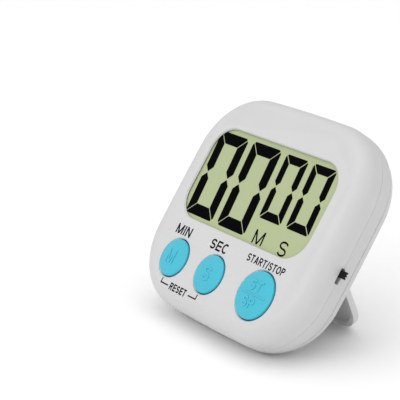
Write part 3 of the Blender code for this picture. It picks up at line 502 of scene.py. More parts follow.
class Glyphs:
    """Plain capitals made of straight and curved strokes."""

    SPACE = 0.13
    S_UPPER = (20, 270)
    S_LOWER = (90, -160)
    C_TURN = (48, 312)
    A_BAR = ((0.2, 0.8), 0.3)
    WIDTHS = {
        "M": 0.84, "I": 0.17, "N": 0.68, "S": 0.64, "E": 0.60, "C": 0.72, "T": 0.60, "A": 0.68, "R": 0.68,
        "O": 0.76, "P": 0.64, "/": 0.34,
    }

    @staticmethod
    def beam(start: Point, end: Point, half: float) -> Outline:
        """A straight stroke, cut off level where it climbs and upright where it lies flat."""
        rise, run = end[1] - start[1], end[0] - start[0]
        if abs(rise) < TINY:
            return block((start[0], end[0]), (start[1] - half, start[1] + half))
        reach = half * math.hypot(rise, run) / abs(rise)
        (ax, ay), (bx, by) = start, end
        return [(ax - reach, ay), (ax + reach, ay), (bx + reach, by), (bx - reach, by)]

    @staticmethod
    def ribbon(points: Sequence[Point], half: float) -> Outline:
        """A curved stroke of even width along its middle line."""
        line = [Vector(point) for point in points]
        left, right = [], []
        for number, point in enumerate(line):
            before = line[max(0, number - 1)]
            after = line[min(len(line) - 1, number + 1)]
            along = (after - before).normalized()
            side = Vector((-along.y, along.x)) * half
            left.append(tuple(point + side))
            right.append(tuple(point - side))
        return left + right[::-1]

    @staticmethod
    def bend(centre: Point, radii: Point, turn: Point, steps: int = 12) -> list[Point]:
        """Points along an elliptical arc between two angles in degrees."""
        angles = [math.radians(turn[0] + (turn[1] - turn[0]) * k / steps) for k in range(steps + 1)]
        return [(centre[0] + radii[0] * math.cos(t), centre[1] + radii[1] * math.sin(t)) for t in angles]

    @classmethod
    def strokes(cls, letter: str, width: float, height: float, half: float) -> list[Outline]:
        """The outlines of a letter's strokes.

        Args:
            letter: Which capital.
            width: Its width.
            height: Its height.
            half: Half the width of a stroke.

        Returns:
            One outline for each stroke, from the letter's lower left corner.
        """
        left, right, middle = half, width - half, width / 2
        top, level, low = height - half, height / 2, half
        beam = partial(cls.beam, half=half)
        stem, far_stem = beam((left, 0.0), (left, height)), beam((right, 0.0), (right, height))
        rx, ry = middle - half, level - half
        waist = (top - level) / 2
        half_turn = cls.bend((right - waist, level + waist), (waist, waist), (90, -90))
        bowl = cls.ribbon([(left, top), *half_turn, (left, level)], half)
        upper = cls.bend((middle, level + waist), (rx, waist), cls.S_UPPER)
        lower = cls.bend((middle, level - waist), (rx, waist), cls.S_LOWER)
        (bar_left, bar_right), bar_level = cls.A_BAR
        shapes = {
            "M": [
                stem, far_stem, beam((left, height), (middle, 0.0)), beam((middle, 0.0), (right, height)),
            ],
            "I": [beam((middle, 0.0), (middle, height))],
            "N": [stem, far_stem, beam((left, height), (right, 0.0))],
            "S": [cls.ribbon(upper + lower[1:], half)],
            "E": [stem, *[beam((half, y), (width, y)) for y in (low, level, top)]],
            "C": [cls.ribbon(cls.bend((middle, level), (rx, ry), cls.C_TURN, 20), half)],
            "T": [beam((middle, 0.0), (middle, height)), beam((0.0, top), (width, top))],
            "A": [
                beam((left, 0.0), (middle, height)), beam((middle, height), (right, 0.0)),
                beam((bar_left * width, bar_level * height), (bar_right * width, bar_level * height)),
            ],
            "R": [stem, bowl, beam((right, 0.0), (middle, level))],
            "O": [
                cls.ribbon(cls.bend((middle, level), (rx, ry), turn, 14), half)
                for turn in ((-90, 90), (90, 270))
            ],
            "P": [stem, bowl],
            "/": [beam((left, 0.0), (right, height))],
        }
        return shapes[letter]


def placement() -> Matrix:
    """From the bench to the leaning case, found from the display film of the frame.

    Returns:
        The matrix that stands a piece up in metres.
    """
    low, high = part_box("display_front_film")
    turn = Matrix.Rotation(math.radians(90 - SIZES.lean), 4, "X") @ Matrix.Scale(MM, 4)
    return Matrix.Translation((low + high) / 2 - turn @ Vector(SIZES.film)) @ turn


def stand_placement() -> Matrix:
    """From the bench, where the stand is folded, to the open stand.

    Returns:
        The matrix that stands the stand up in metres.
    """
    hinge = Vector((0.0, SIZES.hinge_height, -SIZES.hinge_depth))
    inner = SIZES.hinge_depth - SIZES.depth + SIZES.stand_thickness
    height = (placement() @ hinge).z / MM
    reach = math.hypot(SIZES.stand_length, inner)
    folded = math.radians(SIZES.lean) + math.atan2(inner, SIZES.stand_length)
    open_by = folded + math.acos(height / reach)
    swing = Matrix.Translation(hinge) @ Matrix.Rotation(open_by, 4, "X") @ Matrix.Translation(-hinge)
    return placement() @ swing


# Finishes

class Recipe:
    """The nodes of one material, which all read the piece's own coordinates."""

    def __init__(self, name: str) -> None:
        """Starts a material with a Principled shader."""
        self.material = bpy.data.materials.new(name)
        self.material.use_nodes = True
        self.nodes = self.material.node_tree.nodes
        self.links = self.material.node_tree.links
        self.shader = self.nodes["Principled BSDF"]
        self.place = self.nodes.new("ShaderNodeTexCoord").outputs["Object"]

    def add(self, kind: str, inputs: dict[str | int, object], **settings: object) -> bpy.types.Node:
        """Adds a node.

        Args:
            kind: The node's type.
            inputs: A value or a socket for each of its inputs.
            settings: Its other settings.

        Returns:
            The node.
        """
        node = self.nodes.new(kind)
        for key, value in settings.items():
            setattr(node, key, value)
        for key, value in inputs.items():
            if isinstance(value, bpy.types.NodeSocket):
                self.links.new(value, node.inputs[key])
            else:
                node.inputs[key].default_value = value
        return node

    def noise(
        self, scale: float, detail: float = 4.0, stretch: tuple[float, float, float] = (1.0, 1.0, 1.0)
    ) -> bpy.types.NodeSocket:
        """A noise, stretched where its lines run one way."""
        mapped = self.add("ShaderNodeMapping", {"Vector": self.place, "Scale": stretch})
        inputs = {"Vector": mapped.outputs[0], "Scale": scale, "Detail": detail}
        return self.add("ShaderNodeTexNoise", inputs).outputs["Fac"]

    def ramp(
        self, value: bpy.types.NodeSocket, start: float, end: float, low: float = 0.0, high: float = 1.0
    ) -> bpy.types.NodeSocket:
        """Maps what runs from start to end to what runs from low to high."""
        limits = {"Value": value, "From Min": start, "From Max": end, "To Min": low, "To Max": high}
        return self.add("ShaderNodeMapRange", limits).outputs["Result"]

    def spread(self, value: bpy.types.NodeSocket, low: float, high: float) -> bpy.types.NodeSocket:
        """Maps the middle of a noise to a range."""
        return self.ramp(value, *NOISE_RANGE, low, high)

    def mix(
        self, factor: bpy.types.NodeSocket | float, first: object, second: object
    ) -> bpy.types.NodeSocket:
        """Mixes two colours."""
        node = self.nodes.new("ShaderNodeMix")
        node.data_type = "RGBA"
        for socket, value in zip((node.inputs[0], node.inputs[6], node.inputs[7]), (factor, first, second)):
            if isinstance(value, bpy.types.NodeSocket):
                self.links.new(value, socket)
            else:
                socket.default_value = value if isinstance(value, float) else (*value, 1.0)
        return node.outputs[2]

    def feed(self, name: str, value: bpy.types.NodeSocket | float | tuple[float, ...]) -> None:
        """Sets or links an input of the shader."""
        if isinstance(value, bpy.types.NodeSocket):
            self.links.new(value, self.shader.inputs[name])
        else:
            self.shader.inputs[name].default_value = value

    def bump(self, height: bpy.types.NodeSocket, distance: float, strength: float = 1.0) -> None:
        """Raises the surface by a height in metres."""
        node = self.add("ShaderNodeBump", {"Height": height, "Distance": distance, "Strength": strength})
        self.feed("Normal", node.outputs["Normal"])

    def worn(self, colour: object, edge: Colour, amount: float) -> bpy.types.NodeSocket:
        """Lightens or darkens a colour along the piece's convex edges."""
        point = self.nodes.new("ShaderNodeNewGeometry").outputs["Pointiness"]
        return self.mix(self.ramp(point, 0.53, 0.62, 0.0, amount), colour, edge)

    def coat(self, weight: float, roughness: float) -> None:
        """A clear coat over the surface."""
        self.feed("Coat Weight", weight)
        self.feed("Coat Roughness", roughness)


def shade(colour: Colour, factor: float) -> Colour:
    """A lighter or darker copy of a colour."""
    return tuple(min(1.0, part * factor) for part in colour)


@dataclass(frozen=True)
class Finish:
    """A plain mottled surface, which other finishes add to.

    Attributes:
        name: The material's name.
        colour: Its linear base colour.
        roughness: Its middle roughness.
        mottle: Share by which the colour varies.
        grain: Bumps to a metre.
        relief: Height of the bumps in metres.
    """

    name: str
    colour: Colour
    roughness: float = 0.4
    mottle: float = 0.03
    grain: float = 2600.0
    relief: float = 4e-6
    metallic: float = 0.0
    specular: float = 0.5
    stretch: tuple[float, float, float] = (1.0, 1.0, 1.0)

    def surface(self, recipe: Recipe) -> bpy.types.NodeSocket:
        """The colour pattern."""
        broad = recipe.spread(recipe.noise(70.0, 3.0), 0.0, 1.0)
        return recipe.mix(broad, shade(self.colour, 1 - self.mottle), shade(self.colour, 1 + self.mottle))

    def extras(self, recipe: Recipe) -> None:
        """What a particular finish adds at the end."""

    def material(self) -> bpy.types.Material:
        """The finished material, made the first time that it is asked for."""
        known = bpy.data.materials.get(self.name)
        if known:
            return known
        recipe = Recipe(self.name)
        recipe.feed("Base Color", self.surface(recipe))
        rough = recipe.noise(420.0, 3.0, self.stretch)
        recipe.feed("Roughness", recipe.spread(rough, self.roughness * 0.88, self.roughness * 1.12))
        recipe.feed("Metallic", self.metallic)
        recipe.feed("Specular IOR Level", self.specular)
        recipe.bump(recipe.noise(self.grain, 3.0, self.stretch), self.relief)
        self.extras(recipe)
        recipe.material.diffuse_color = (*self.colour, 1.0)
        return recipe.material


@dataclass(frozen=True)
class MouldedPlastic(Finish):
    """Injection-moulded plastic: satin, faintly mottled, with handled edges."""

    edge: Colour = (0.80, 0.80, 0.80)
    edge_wear: float = 0.2
    coat: float = 0.0

    def surface(self, recipe: Recipe) -> bpy.types.NodeSocket:
        """Mottled colour, lighter where edges are handled, with a trace of dust."""
        base = super().surface(recipe)
        dust = recipe.spread(recipe.noise(900.0, 6.0), 0.0, 0.05)
        return recipe.worn(recipe.mix(dust, base, shade(self.colour, 0.8)), self.edge, self.edge_wear)

    def extras(self, recipe: Recipe) -> None:
        """A thin coat where the plastic is glossy."""
        recipe.coat(self.coat, 0.2)


@dataclass(frozen=True)
class BrushedMetal(Finish):
    """Metal with fine lines and light scratches."""

    def surface(self, recipe: Recipe) -> bpy.types.NodeSocket:
        """Tarnish in patches, and thin brighter scratches."""
        tarnish = recipe.spread(recipe.noise(300.0, 5.0), 0.0, 0.5)
        base = recipe.mix(tarnish, self.colour, shade(self.colour, 0.72))
        cells = {"Vector": recipe.place, "Scale": 900.0}
        lines = recipe.add("ShaderNodeTexVoronoi", cells, feature="DISTANCE_TO_EDGE")
        scratch = recipe.ramp(lines.outputs["Distance"], 0.0, 0.02, 0.5, 0.0)
        return recipe.mix(scratch, base, shade(self.colour, 1.25))


@dataclass(frozen=True)
class DisplayFilm(Finish):
    """The polarising film over a reflector: a dull green-grey with a fine sparkle, and painted shade towards
    its top.
    """

    # Heights in metres over which painted shade darkens the film towards its top.
    span: Point = (0.025, 0.06)

    def surface(self, recipe: Recipe) -> bpy.types.NodeSocket:
        """Painted shade, darker towards the top of the display, and the grain of the reflector."""
        split = recipe.add("ShaderNodeSeparateXYZ", {0: recipe.place})
        painted_shade = recipe.ramp(split.outputs["Z"], *self.span)
        base = recipe.mix(painted_shade, shade(self.colour, 1.02), shade(self.colour, 0.98))
        grain = recipe.spread(recipe.noise(5200.0, 2.0), 0.0, 1.0)
        return recipe.mix(0.06, base, recipe.mix(grain, shade(self.colour, 0.6), shade(self.colour, 1.4)))

    def extras(self, recipe: Recipe) -> None:
        """The hard clear skin of the film."""
        recipe.coat(0.25, 0.12)


@dataclass(frozen=True)
class Ink(Finish):
    """Printed or switched black, thin and slightly uneven."""

    def surface(self, recipe: Recipe) -> bpy.types.NodeSocket:
        """Thin spots where the ink took less well."""
        thin = recipe.spread(recipe.noise(5000.0, 4.0), 0.0, 1.0)
        return recipe.mix(thin, self.colour, shade(self.colour, 2.2))


@dataclass(frozen=True)
class Laminate(Finish):
    """Green board with copper traces under its lacquer."""

    trace: Colour = (0.10, 0.34, 0.12)

    def surface(self, recipe: Recipe) -> bpy.types.NodeSocket:
        """Traces as bands between cells, and the weave of the cloth in the board."""
        cells = recipe.add(
            "ShaderNodeTexVoronoi", {"Vector": recipe.place, "Scale": 190.0, "Randomness": 0.55},
            feature="DISTANCE_TO_EDGE", distance="CHEBYCHEV",
        )
        trace = recipe.ramp(cells.outputs["Distance"], 0.05, 0.07, 1.0, 0.0)
        return recipe.mix(trace, super().surface(recipe), self.trace)


@dataclass(frozen=True)
class Sleeve(Finish):
    """The shrunk printed sleeve of a cell, with a band at its positive end."""

    band: Colour = (0.10, 0.42, 0.16)
    band_start: float = 0.012
    band_blur: float = 0.0002

    def surface(self, recipe: Recipe) -> bpy.types.NodeSocket:
        """Dark along the cell and a coloured band towards +X."""
        split = recipe.add("ShaderNodeSeparateXYZ", {0: recipe.place})
        band = recipe.ramp(split.outputs["X"], self.band_start, self.band_start + self.band_blur)
        return recipe.mix(band, super().surface(recipe), self.band)

    def extras(self, recipe: Recipe) -> None:
        """The gloss of the film."""
        recipe.coat(0.5, 0.1)


@dataclass(frozen=True)
class ClearGlass(Finish):
    """Float glass with a faint tint."""

    def extras(self, recipe: Recipe) -> None:
        """Lets light through."""
        recipe.feed("Transmission Weight", 0.85)
        recipe.feed("IOR", 1.5)


WHITE = MouldedPlastic(
    "satin_white", (0.555, 0.555, 0.558), 0.38, 0.012, 2400.0, 3e-6, edge=(0.62, 0.62, 0.62)
)
# Painted light: the case's white plastic made lighter for the stand, so that it looks lit although it sits in
# the case's shade.
STAND_WHITE_PAINTED_LIGHTER = MouldedPlastic("stand_white_plastic_painted_lighter", (0.66, 0.66, 0.663), 0.38, 0.015, 2200.0, 4e-6)
BLUE = MouldedPlastic(
    "sky_blue", (0.030, 0.430, 0.560), 0.28, 0.03, 1200.0, 1e-6,
    edge=(0.12, 0.56, 0.68), edge_wear=0.12, coat=0.2,
)
BLACK = MouldedPlastic(
    "switch_black", (0.008, 0.008, 0.009), 0.5, 0.2, 2600.0, 6e-6, specular=0.15, edge=(0.02, 0.02, 0.02)
)
LABEL_INK = Ink("label_ink", (0.005, 0.005, 0.006), 0.6, 0.0, 5000.0, 2e-6, specular=0.0)
SEGMENT_INK = Ink("segment_black", (0.002, 0.002, 0.0024), 0.5, 0.0, 4000.0, 1e-6, specular=0.0)
LCD = DisplayFilm("display_film", (0.385, 0.440, 0.245), 0.42, 0.02, 4200.0, 1.5e-6, specular=0.15)
GLASS = ClearGlass("display_glass_clear", (0.80, 0.86, 0.76), 0.06, 0.01, 900.0, 1e-7)
SILICONE = Finish("keypad_grey_silicone", (0.33, 0.34, 0.35), 0.62, 0.05, 1800.0, 8e-6)
PINK_SILICONE = Finish(
    "connector_pink_silicone", (0.55, 0.26, 0.28), 0.6, 0.08, 3000.0, 8e-6, stretch=(8.0, 1.0, 1.0)
)
NATURAL = MouldedPlastic("natural_plastic", (0.66, 0.65, 0.60), 0.5, 0.03, 1800.0, 6e-6)
GREEN_BOARD = Laminate("green_board", (0.03, 0.17, 0.06), 0.36, 0.08, 2400.0, 8e-6)
NICKEL = BrushedMetal(
    "bright_nickel", (0.64, 0.61, 0.56), 0.26, 0.03, 1500.0, 3e-6, 1.0, stretch=(6.0, 1.0, 1.0)
)
STEEL = BrushedMetal("zinc_screw", (0.50, 0.50, 0.51), 0.34, 0.05, 2600.0, 6e-6, 1.0)
MAGNET = BrushedMetal(
    "magnet_nickel", (0.58, 0.58, 0.57), 0.22, 0.05, 1200.0, 2e-6, 1.0, stretch=(1.0, 5.0, 5.0)
)
BRASS = BrushedMetal(
    "sounder_brass", (0.72, 0.50, 0.20), 0.3, 0.05, 1300.0, 3e-6, 1.0, stretch=(5.0, 1.0, 1.0)
)
CERAMIC = Finish("silvered_ceramic", (0.70, 0.69, 0.64), 0.42, 0.06, 2600.0, 6e-6, 0.35)
CHIP = Finish("chip_tan", (0.42, 0.30, 0.19), 0.5, 0.08, 3000.0, 6e-6)
EPOXY = MouldedPlastic(
    "potting_black", (0.012, 0.012, 0.012), 0.22, 0.2, 500.0, 2e-5, edge=(0.03, 0.03, 0.03)
)
RED_LEAD = Finish("red_insulation", (0.46, 0.016, 0.014), 0.42, 0.08, 1500.0, 6e-6)
BLACK_LEAD = Finish("black_insulation", (0.015, 0.015, 0.015), 0.42, 0.2, 1500.0, 6e-6)
SLEEVE = Sleeve("cell_sleeve_print", (0.035, 0.038, 0.045), 0.3, 0.08, 900.0, 2e-6)
FLOOR = Finish("pale_floor", (0.93, 0.93, 0.93), 0.75, 0.004, 60.0, 1e-5, specular=0.2)


def deliver(
    obj: bpy.types.Object, finish: Finish, body: Body, stands_for: Sequence[str] = (),
    place: Matrix | None = None, sharp: float = 38.0,
) -> bpy.types.Object:
    """Puts a finished piece on the timer.

    Args:
        obj: The piece, on the bench.
        finish: Its finish.
        body: What it moves with.
        stands_for: The frame's nodes that it replaces.
        place: Its placement, where it isn't the case's.
        sharp: Angle in degrees above which an edge stays sharp.

    Returns:
        The piece.
    """
    Bench.focus(obj)
    obj.matrix_world = place if place is not None else placement()
    bpy.ops.object.transform_apply(location=True, rotation=True, scale=True)
    bpy.ops.object.shade_smooth_by_angle(angle=math.radians(sharp))
    Bench.modify(obj, "WEIGHTED_NORMAL", keep_sharp=True, weight=80)
    obj.data.materials.clear()
    obj.data.materials.append(finish.material())
    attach(obj, body.value)
    if stands_for:
        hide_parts(*stands_for)
    log.info("%s: %d faces, rides on %s", obj.name, len(obj.data.polygons), body.value)
    return obj


# Pieces

@dataclass
class SlotTool:
    """The slot through the side wall for the switch knob, half in each shell."""

    reach: float = 3.6

    def make(self) -> bpy.types.Object:
        """The cutting tool."""
        side = SIZES.width / 2
        half = SIZES.slot_length / 2
        limits = block((side - self.reach, side + OVER), (SIZES.slot_height - half, SIZES.slot_height + half))
        width = SIZES.slot_width
        return Bench.prism("slot", limits, SIZES.seam - width / 2, SIZES.seam + width / 2)


@dataclass
class Key:
    """One key: where it is, how wide it is and what is raised on it."""

    name: str
    body: Body
    x: float
    y: float
    radius: float
    letters: tuple[tuple[str, Point, Point], ...]
    bar: float = 0.0
    flange: float = 0.5
    flange_front: float = 2.1
    back: float = 2.8
    wall: float = 1.1
    stem: float = 1.6
    bore: float = 1.6
    edge: float = 0.38
    edge_start: float = 0.12
    crown: float = 0.98
    relief: float = 0.18
    stroke: float = 0.6
    sunk: float = 0.06
    bar_width: float = 0.45
    pitch: float = 0.4
    rings: tuple[float, ...] = (0.0, 0.08, 0.18, 0.3, 0.42, 0.55, 0.68, 0.8, 0.9, 0.97)

    def dome(self, distance: float) -> float:
        """Height of the domed top at a distance from the key's middle."""
        rim = self.edge_start + self.edge
        return self.crown - (self.crown - rim) * (distance / (self.radius - self.edge)) ** 2

    def cap(self) -> bpy.types.Object:
        """The domed cap with its flange, hollow underside and stem."""
        steps: list[Step] = [
            (0.0, self.back - self.flange_front),
            (self.flange, 0.0),
            (0.0, self.flange_front + self.edge_start),
            *quarter_round(self.edge, self.edge, 5),
        ]
        flat = self.radius - self.edge
        rings = [flat * (1 - share) for share in self.rings]
        steps += [(a - b, self.dome(b) - self.dome(a)) for a, b in zip(rings, rings[1:])]
        outline = circle(self.radius + self.flange, (self.x, self.y), 96)
        cap = Bench.sweep(self.name, outline, self.back, steps)
        Bench.pick(cap, Bench.level_at(-self.back, -1))
        inner = self.radius - self.wall - self.stem
        hollow = [(self.wall + self.flange, 0.0), (0.0, -self.bore), (inner, 0.0), (0.0, self.bore)]
        Bench.grow(cap, hollow, -1)
        return Bench.close(cap)

    def drape(self, piece: bpy.types.Object) -> None:
        """Lets raised letters follow the dome."""
        for vertex in piece.data.vertices:
            distance = math.hypot(vertex.co.x - self.x, vertex.co.y - self.y)
            vertex.co.z += self.dome(distance) - self.crown
        piece.data.update()

    def raised(self) -> bpy.types.Object:
        """The letters raised on the key."""
        parts = []
        under = self.sunk - self.crown
        pen = Pen(self.stroke, under, self.relief + self.sunk, pitch=self.pitch)
        for text, (dx, dy), size in self.letters:
            parts.append(Bench.word("letter", text, (self.x + dx, self.y + dy), size, pen))
        if self.bar:
            limits = dense(rounded(self.bar, self.bar_width, 0.2, (self.x, self.y), 4), self.pitch)
            parts.append(Bench.sweep("bar", limits, under, [(0.0, self.relief), (self.sunk, self.sunk)]))
        for part in parts:
            self.drape(part)
        return Bench.merge(self.name + "_letters", parts)

    def build(self, node: str) -> None:
        """Models the key and puts it on its body."""
        deliver(self.cap(), BLUE, self.body, [node], sharp=30)
        deliver(self.raised(), BLUE, self.body)


@dataclass
class Keys:
    """The three keys."""

    small: float = 5.82
    large: float = 7.13
    row: float = -20.8
    large_row: float = -20.4

    def all(self) -> dict[str, Key]:
        """Each key by its node in the frame."""
        return {
            "min_button": Key(
                "key_min", Body.MIN_KEY, -20.05, self.row, self.small, (("M", (-0.6, 0), (3.6, 4.2)),)
            ),
            "sec_button": Key(
                "key_sec", Body.SEC_KEY, -2.0, self.row, self.small, (("S", (0, 0), (3.1, 4.3)),)
            ),
            "start_stop_button": Key(
                "key_start_stop", Body.START_KEY, 20.0, self.large_row, self.large,
                (("ST", (-0.3, 2.6), (5.0, 3.1)), ("SP", (-0.4, -2.5), (5.2, 3.1))), 10.6,
            ),
        }

    def build(self) -> None:
        """Models every key."""
        for node, key in self.all().items():
            key.build(node)


@dataclass
class Window:
    """The display's opening in the face."""

    width: float = 58.8
    height: float = 29.7
    radius: float = 8.0
    centre: Point = (0.0, 6.8)
    rim: float = 0.5
    edge: float = 0.28
    border: float = 1.5
    ledge: float = 2.4

    def tools(self) -> list[bpy.types.Object]:
        """The opening with its rounded rim, and the pocket behind it for the glass."""
        size = (self.width + 2 * self.edge, self.height + 2 * self.edge)
        opening = Bench.flared(rounded(*size, self.radius + self.edge, self.centre, 16), self.edge)
        half = self.width / 2 + self.border
        low = self.centre[1] - self.height / 2 - self.border - self.ledge
        high = self.centre[1] + self.height / 2 + self.border
        pocket = Bench.prism("pocket", block((-half, half), (low, high)), self.rim, SIZES.front_wall + OVER)
        return [pocket, opening]


@dataclass
class FrontShell:
    """The front half of the case, with its window, key holes and screw bosses."""

    edge_inset: float = 4.4
    edge_depth: float = 5.8
    hole_edge: float = 0.25
    flange_room: float = 0.8
    flange_front: float = 1.83
    lip: float = 1.4
    lip_inset: float = 1.05
    boss: float = 2.2
    boss_front: float = 1.0
    boss_gap: float = 0.3
    pilot: float = 1.3
    pilot_front: float = 4.0
    board_boss: float = 1.9
    board_pilot: float = 1.0
    board_pilot_front: float = 2.3
    board_front: float = 4.6
    board_screws: tuple[Point, ...] = ((-7.0, 26.15), (7.0, 26.15), (-11.025, -26.0), (8.345, -26.0))

    def shell(self) -> bpy.types.Object:
        """The walls: a soft front edge that runs round a flat face."""
        start = SIZES.seam - SIZES.seam_gap / 2
        steps = [(0.0, start - self.edge_depth), *quarter_round(self.edge_inset, self.edge_depth, 14)]
        shell = Bench.sweep("case_front", case_outline(0.0), start, steps)
        Bench.pick(shell, Bench.level_at(-start, -1))
        with Bench.editing(shell):
            bpy.ops.mesh.delete(type="ONLY_FACE")
        Bench.modify(
            shell, "SOLIDIFY", thickness=SIZES.side_wall, offset=-1.0, use_even_offset=True, use_rim=True
        )
        return shell

    def hole(self, key: Key) -> bpy.types.Object:
        """The tool for a key's hole, with its rounded rim."""
        grown = circle(key.radius + SIZES.clearance + self.hole_edge, (key.x, key.y), 96)
        return Bench.flared(grown, self.hole_edge)

    def build(self) -> None:
        """Models the shell and puts it on the case."""
        shell = self.shell()
        rebate_front = SIZES.seam - SIZES.seam_gap / 2 - self.lip - SIZES.clearance
        rebate = case_outline(self.lip_inset - SIZES.clearance)
        Bench.cut(shell, rebate, rebate_front, SIZES.seam + OVER)
        for place in SIZES.case_screws:
            Bench.add(shell, circle(self.boss, place, 32), self.boss_front, SIZES.seam - self.boss_gap)
            Bench.cut(shell, circle(self.pilot, place, 24), self.pilot_front, SIZES.seam + OVER)
        for place in self.board_screws:
            back = self.board_front - SIZES.clearance
            Bench.add(shell, circle(self.board_boss, place, 32), self.boss_front, back)
            Bench.cut(shell, circle(self.board_pilot, place, 24), self.board_pilot_front, SIZES.seam)
        Bench.work(shell, Work.CUT, *Window().tools(), SlotTool().make())
        for key in Keys().all().values():
            room = circle(key.radius + self.flange_room, (key.x, key.y), 96)
            Bench.cut(shell, room, self.flange_front, self.board_front)
            Bench.work(shell, Work.CUT, self.hole(key))
        deliver(shell, WHITE, Body.CASE, ["front_shell"])


@dataclass
class RearShell:
    """The rear half of the case: cell tub, stand recess, magnet pockets and screw wells."""

    edge_inset: float = 8.0
    edge_depth: float = 10.2
    step: float = 0.12
    step_depth: float = 12.9
    groove_width: float = 0.34
    groove_depth: float = 0.34
    lip: float = 1.4
    lip_inset: float = 1.05
    step_rise: float = 0.1
    tub_front: float = 6.1
    tub_floor: float = 0.6
    tub_wall: float = 1.2
    recess_floor: float = 16.4
    recess_top: float = 0.85
    heel_floor: float = 15.25
    heel_top: float = 1.5
    heel_wall_low: float = 3.1
    housing: float = 4.7
    housing_front: float = 15.2
    wall_overlap: float = 0.5
    sounder_radius: float = 9.3
    sounder_y: float = -15.6
    sounder_wall: float = 0.9
    sounder_depth: float = 2.4
    hole_radius: float = 0.8
    hole_pitch: float = 3.2
    screw_bore: float = 1.3
    screw_head: float = 2.2
    screw_seat: float = 16.9
    post: float = 3.1
    post_gap: float = 0.15
    hollow_reach: float = 3.0
    rim_depth: float = 1.5
    tab_room: float = 3.0
    pocket_gap: float = 0.6
    sound_front: float = 14.0
    tab_half: float = 1.5
    tab_middle: float = 3.125
    tab_reach: float = 1.6

    def inset_at(self, depth: float) -> float:
        """How far the rounded back edge has come in at a depth."""
        share = 1 - (SIZES.depth - depth) / self.edge_depth
        return self.edge_inset * (1 - math.sqrt(max(0.0, 1 - share**2)))

    def arc(self, steps: int) -> list[Point]:
        """Inset and depth round the back edge, with the shallow step in it."""
        start = SIZES.depth - self.edge_depth
        before = [start + (self.step_depth - start) * k / ARC_STEPS for k in range(ARC_STEPS + 1)]
        arc = [(self.inset_at(depth), depth) for depth in before]
        after = self.step_depth + self.step_rise
        arc.append((arc[-1][0] + self.step, after))
        first = math.asin((after - start) / self.edge_depth)
        for k in range(1, steps + 1):
            depth = start + self.edge_depth * math.sin(first + (math.pi / 2 - first) * k / steps)
            arc.append((self.inset_at(depth) + self.step, depth))
        return arc

    @staticmethod
    def steps_of(arc: Sequence[Point]) -> list[Step]:
        """Insets and rises between the points of an arc."""
        return [(b[0] - a[0], b[1] - a[1]) for a, b in zip(arc, arc[1:])]

    def outside(self) -> bpy.types.Object:
        """The outer form as a solid, with the lip that enters the front shell."""
        start = SIZES.seam + SIZES.seam_gap / 2
        arc = self.arc(16)
        steps = [(0.0, arc[0][1] - start), *self.steps_of(arc)]
        shell = Bench.sweep("case_back", case_outline(0.0), start, steps, -1)
        Bench.add(shell, case_outline(self.lip_inset), start - self.lip, start + OVER)
        back = self.step_depth + self.groove_width
        ring = Bench.prism("groove", case_outline(-OVER), self.step_depth, back)
        core = case_outline(self.inset_at(back) + self.groove_depth)
        Bench.cut(ring, core, self.step_depth - OVER, back + OVER)
        return Bench.work(shell, Work.CUT, ring)

    def hollow(self) -> bpy.types.Object:
        """The space inside, less the walls that stand in it."""
        arc = [(inset + SIZES.side_wall, depth - SIZES.back_wall) for inset, depth in self.arc(6)]
        start = self.tub_front - self.hollow_reach
        steps = [(0.0, arc[0][1] - start), *self.steps_of(arc)]
        hollow = Bench.sweep("hollow", case_outline(SIZES.side_wall), start, steps, -1)
        tub_x = SIZES.tub_half_length + self.tub_wall
        tub_y = SIZES.tub_half_width + self.tub_wall
        rim = SIZES.door_half_length - SIZES.tub_half_length
        middle = SIZES.cell_height
        floor = self.recess_floor - SIZES.back_wall
        wide = SIZES.clearance + SIZES.back_wall
        heel = SIZES.heel_half_width + wide
        heel_span = (SIZES.hinge_height - self.heel_wall_low, self.heel_top + SIZES.back_wall)
        tub = block((-tub_x, tub_x), (middle - tub_y, middle + tub_y))
        seat = block((-tub_x - rim, tub_x + rim), (middle - tub_y - rim, middle + tub_y + rim))
        recess = stand_outline(wide, self.recess_top + SIZES.back_wall)
        walls = [
            (tub, OVER), (seat, SIZES.door_inner - self.rim_depth), (recess, floor),
            (block((-heel, heel), heel_span), self.heel_floor - SIZES.back_wall),
        ]
        walls += [(circle(self.post, at, 40), SIZES.seam + self.post_gap) for at in SIZES.case_screws]
        magnets = [(side * SIZES.magnet_x, SIZES.magnet_height) for side in (-1, 1)]
        walls += [(circle(self.housing, at, 48), self.housing_front) for at in magnets]
        tools = [Bench.prism("wall", outline, front, BEHIND) for outline, front in walls]
        well = circle(self.sounder_radius + self.sounder_wall, (0.0, self.sounder_y), 64)
        ring = Bench.prism("well", well, floor - self.sounder_depth, floor + self.wall_overlap)
        Bench.cut(ring, circle(self.sounder_radius, (0.0, self.sounder_y), 60), SIZES.seam, floor + NEAR)
        return Bench.work(hollow, Work.CUT, *tools, ring)

    def cell_space(self) -> list[bpy.types.Object]:
        """Tools for the cell's tub, the door's seat and the slots that its tabs hook into."""
        clear = SIZES.clearance
        tub_x, tub_y = SIZES.tub_half_length, SIZES.tub_half_width
        seat_x, seat_y = SIZES.door_half_length + clear, SIZES.door_half_width + clear
        middle = SIZES.cell_height
        tub = block((-tub_x, tub_x), (middle - tub_y, middle + tub_y))
        seat = rounded(2 * seat_x, 2 * seat_y, 1.0, (0.0, middle), 6)
        tools = [
            Bench.prism("tub", tub, self.tub_front + self.tub_floor, BEHIND),
            Bench.prism("seat", seat, SIZES.door_inner - clear, BEHIND),
        ]
        half = self.tab_half + clear
        end = -SIZES.door_half_length - self.tab_reach - 2 * clear
        for side in (-1, 1):
            place = middle + side * self.tab_middle
            limits = block((end, OVER - tub_x), (place - half, place + half))
            front = SIZES.door_inner - self.tab_room
            tools.append(Bench.prism("tab_slot", limits, front, SIZES.door_inner - clear / 2))
        return tools

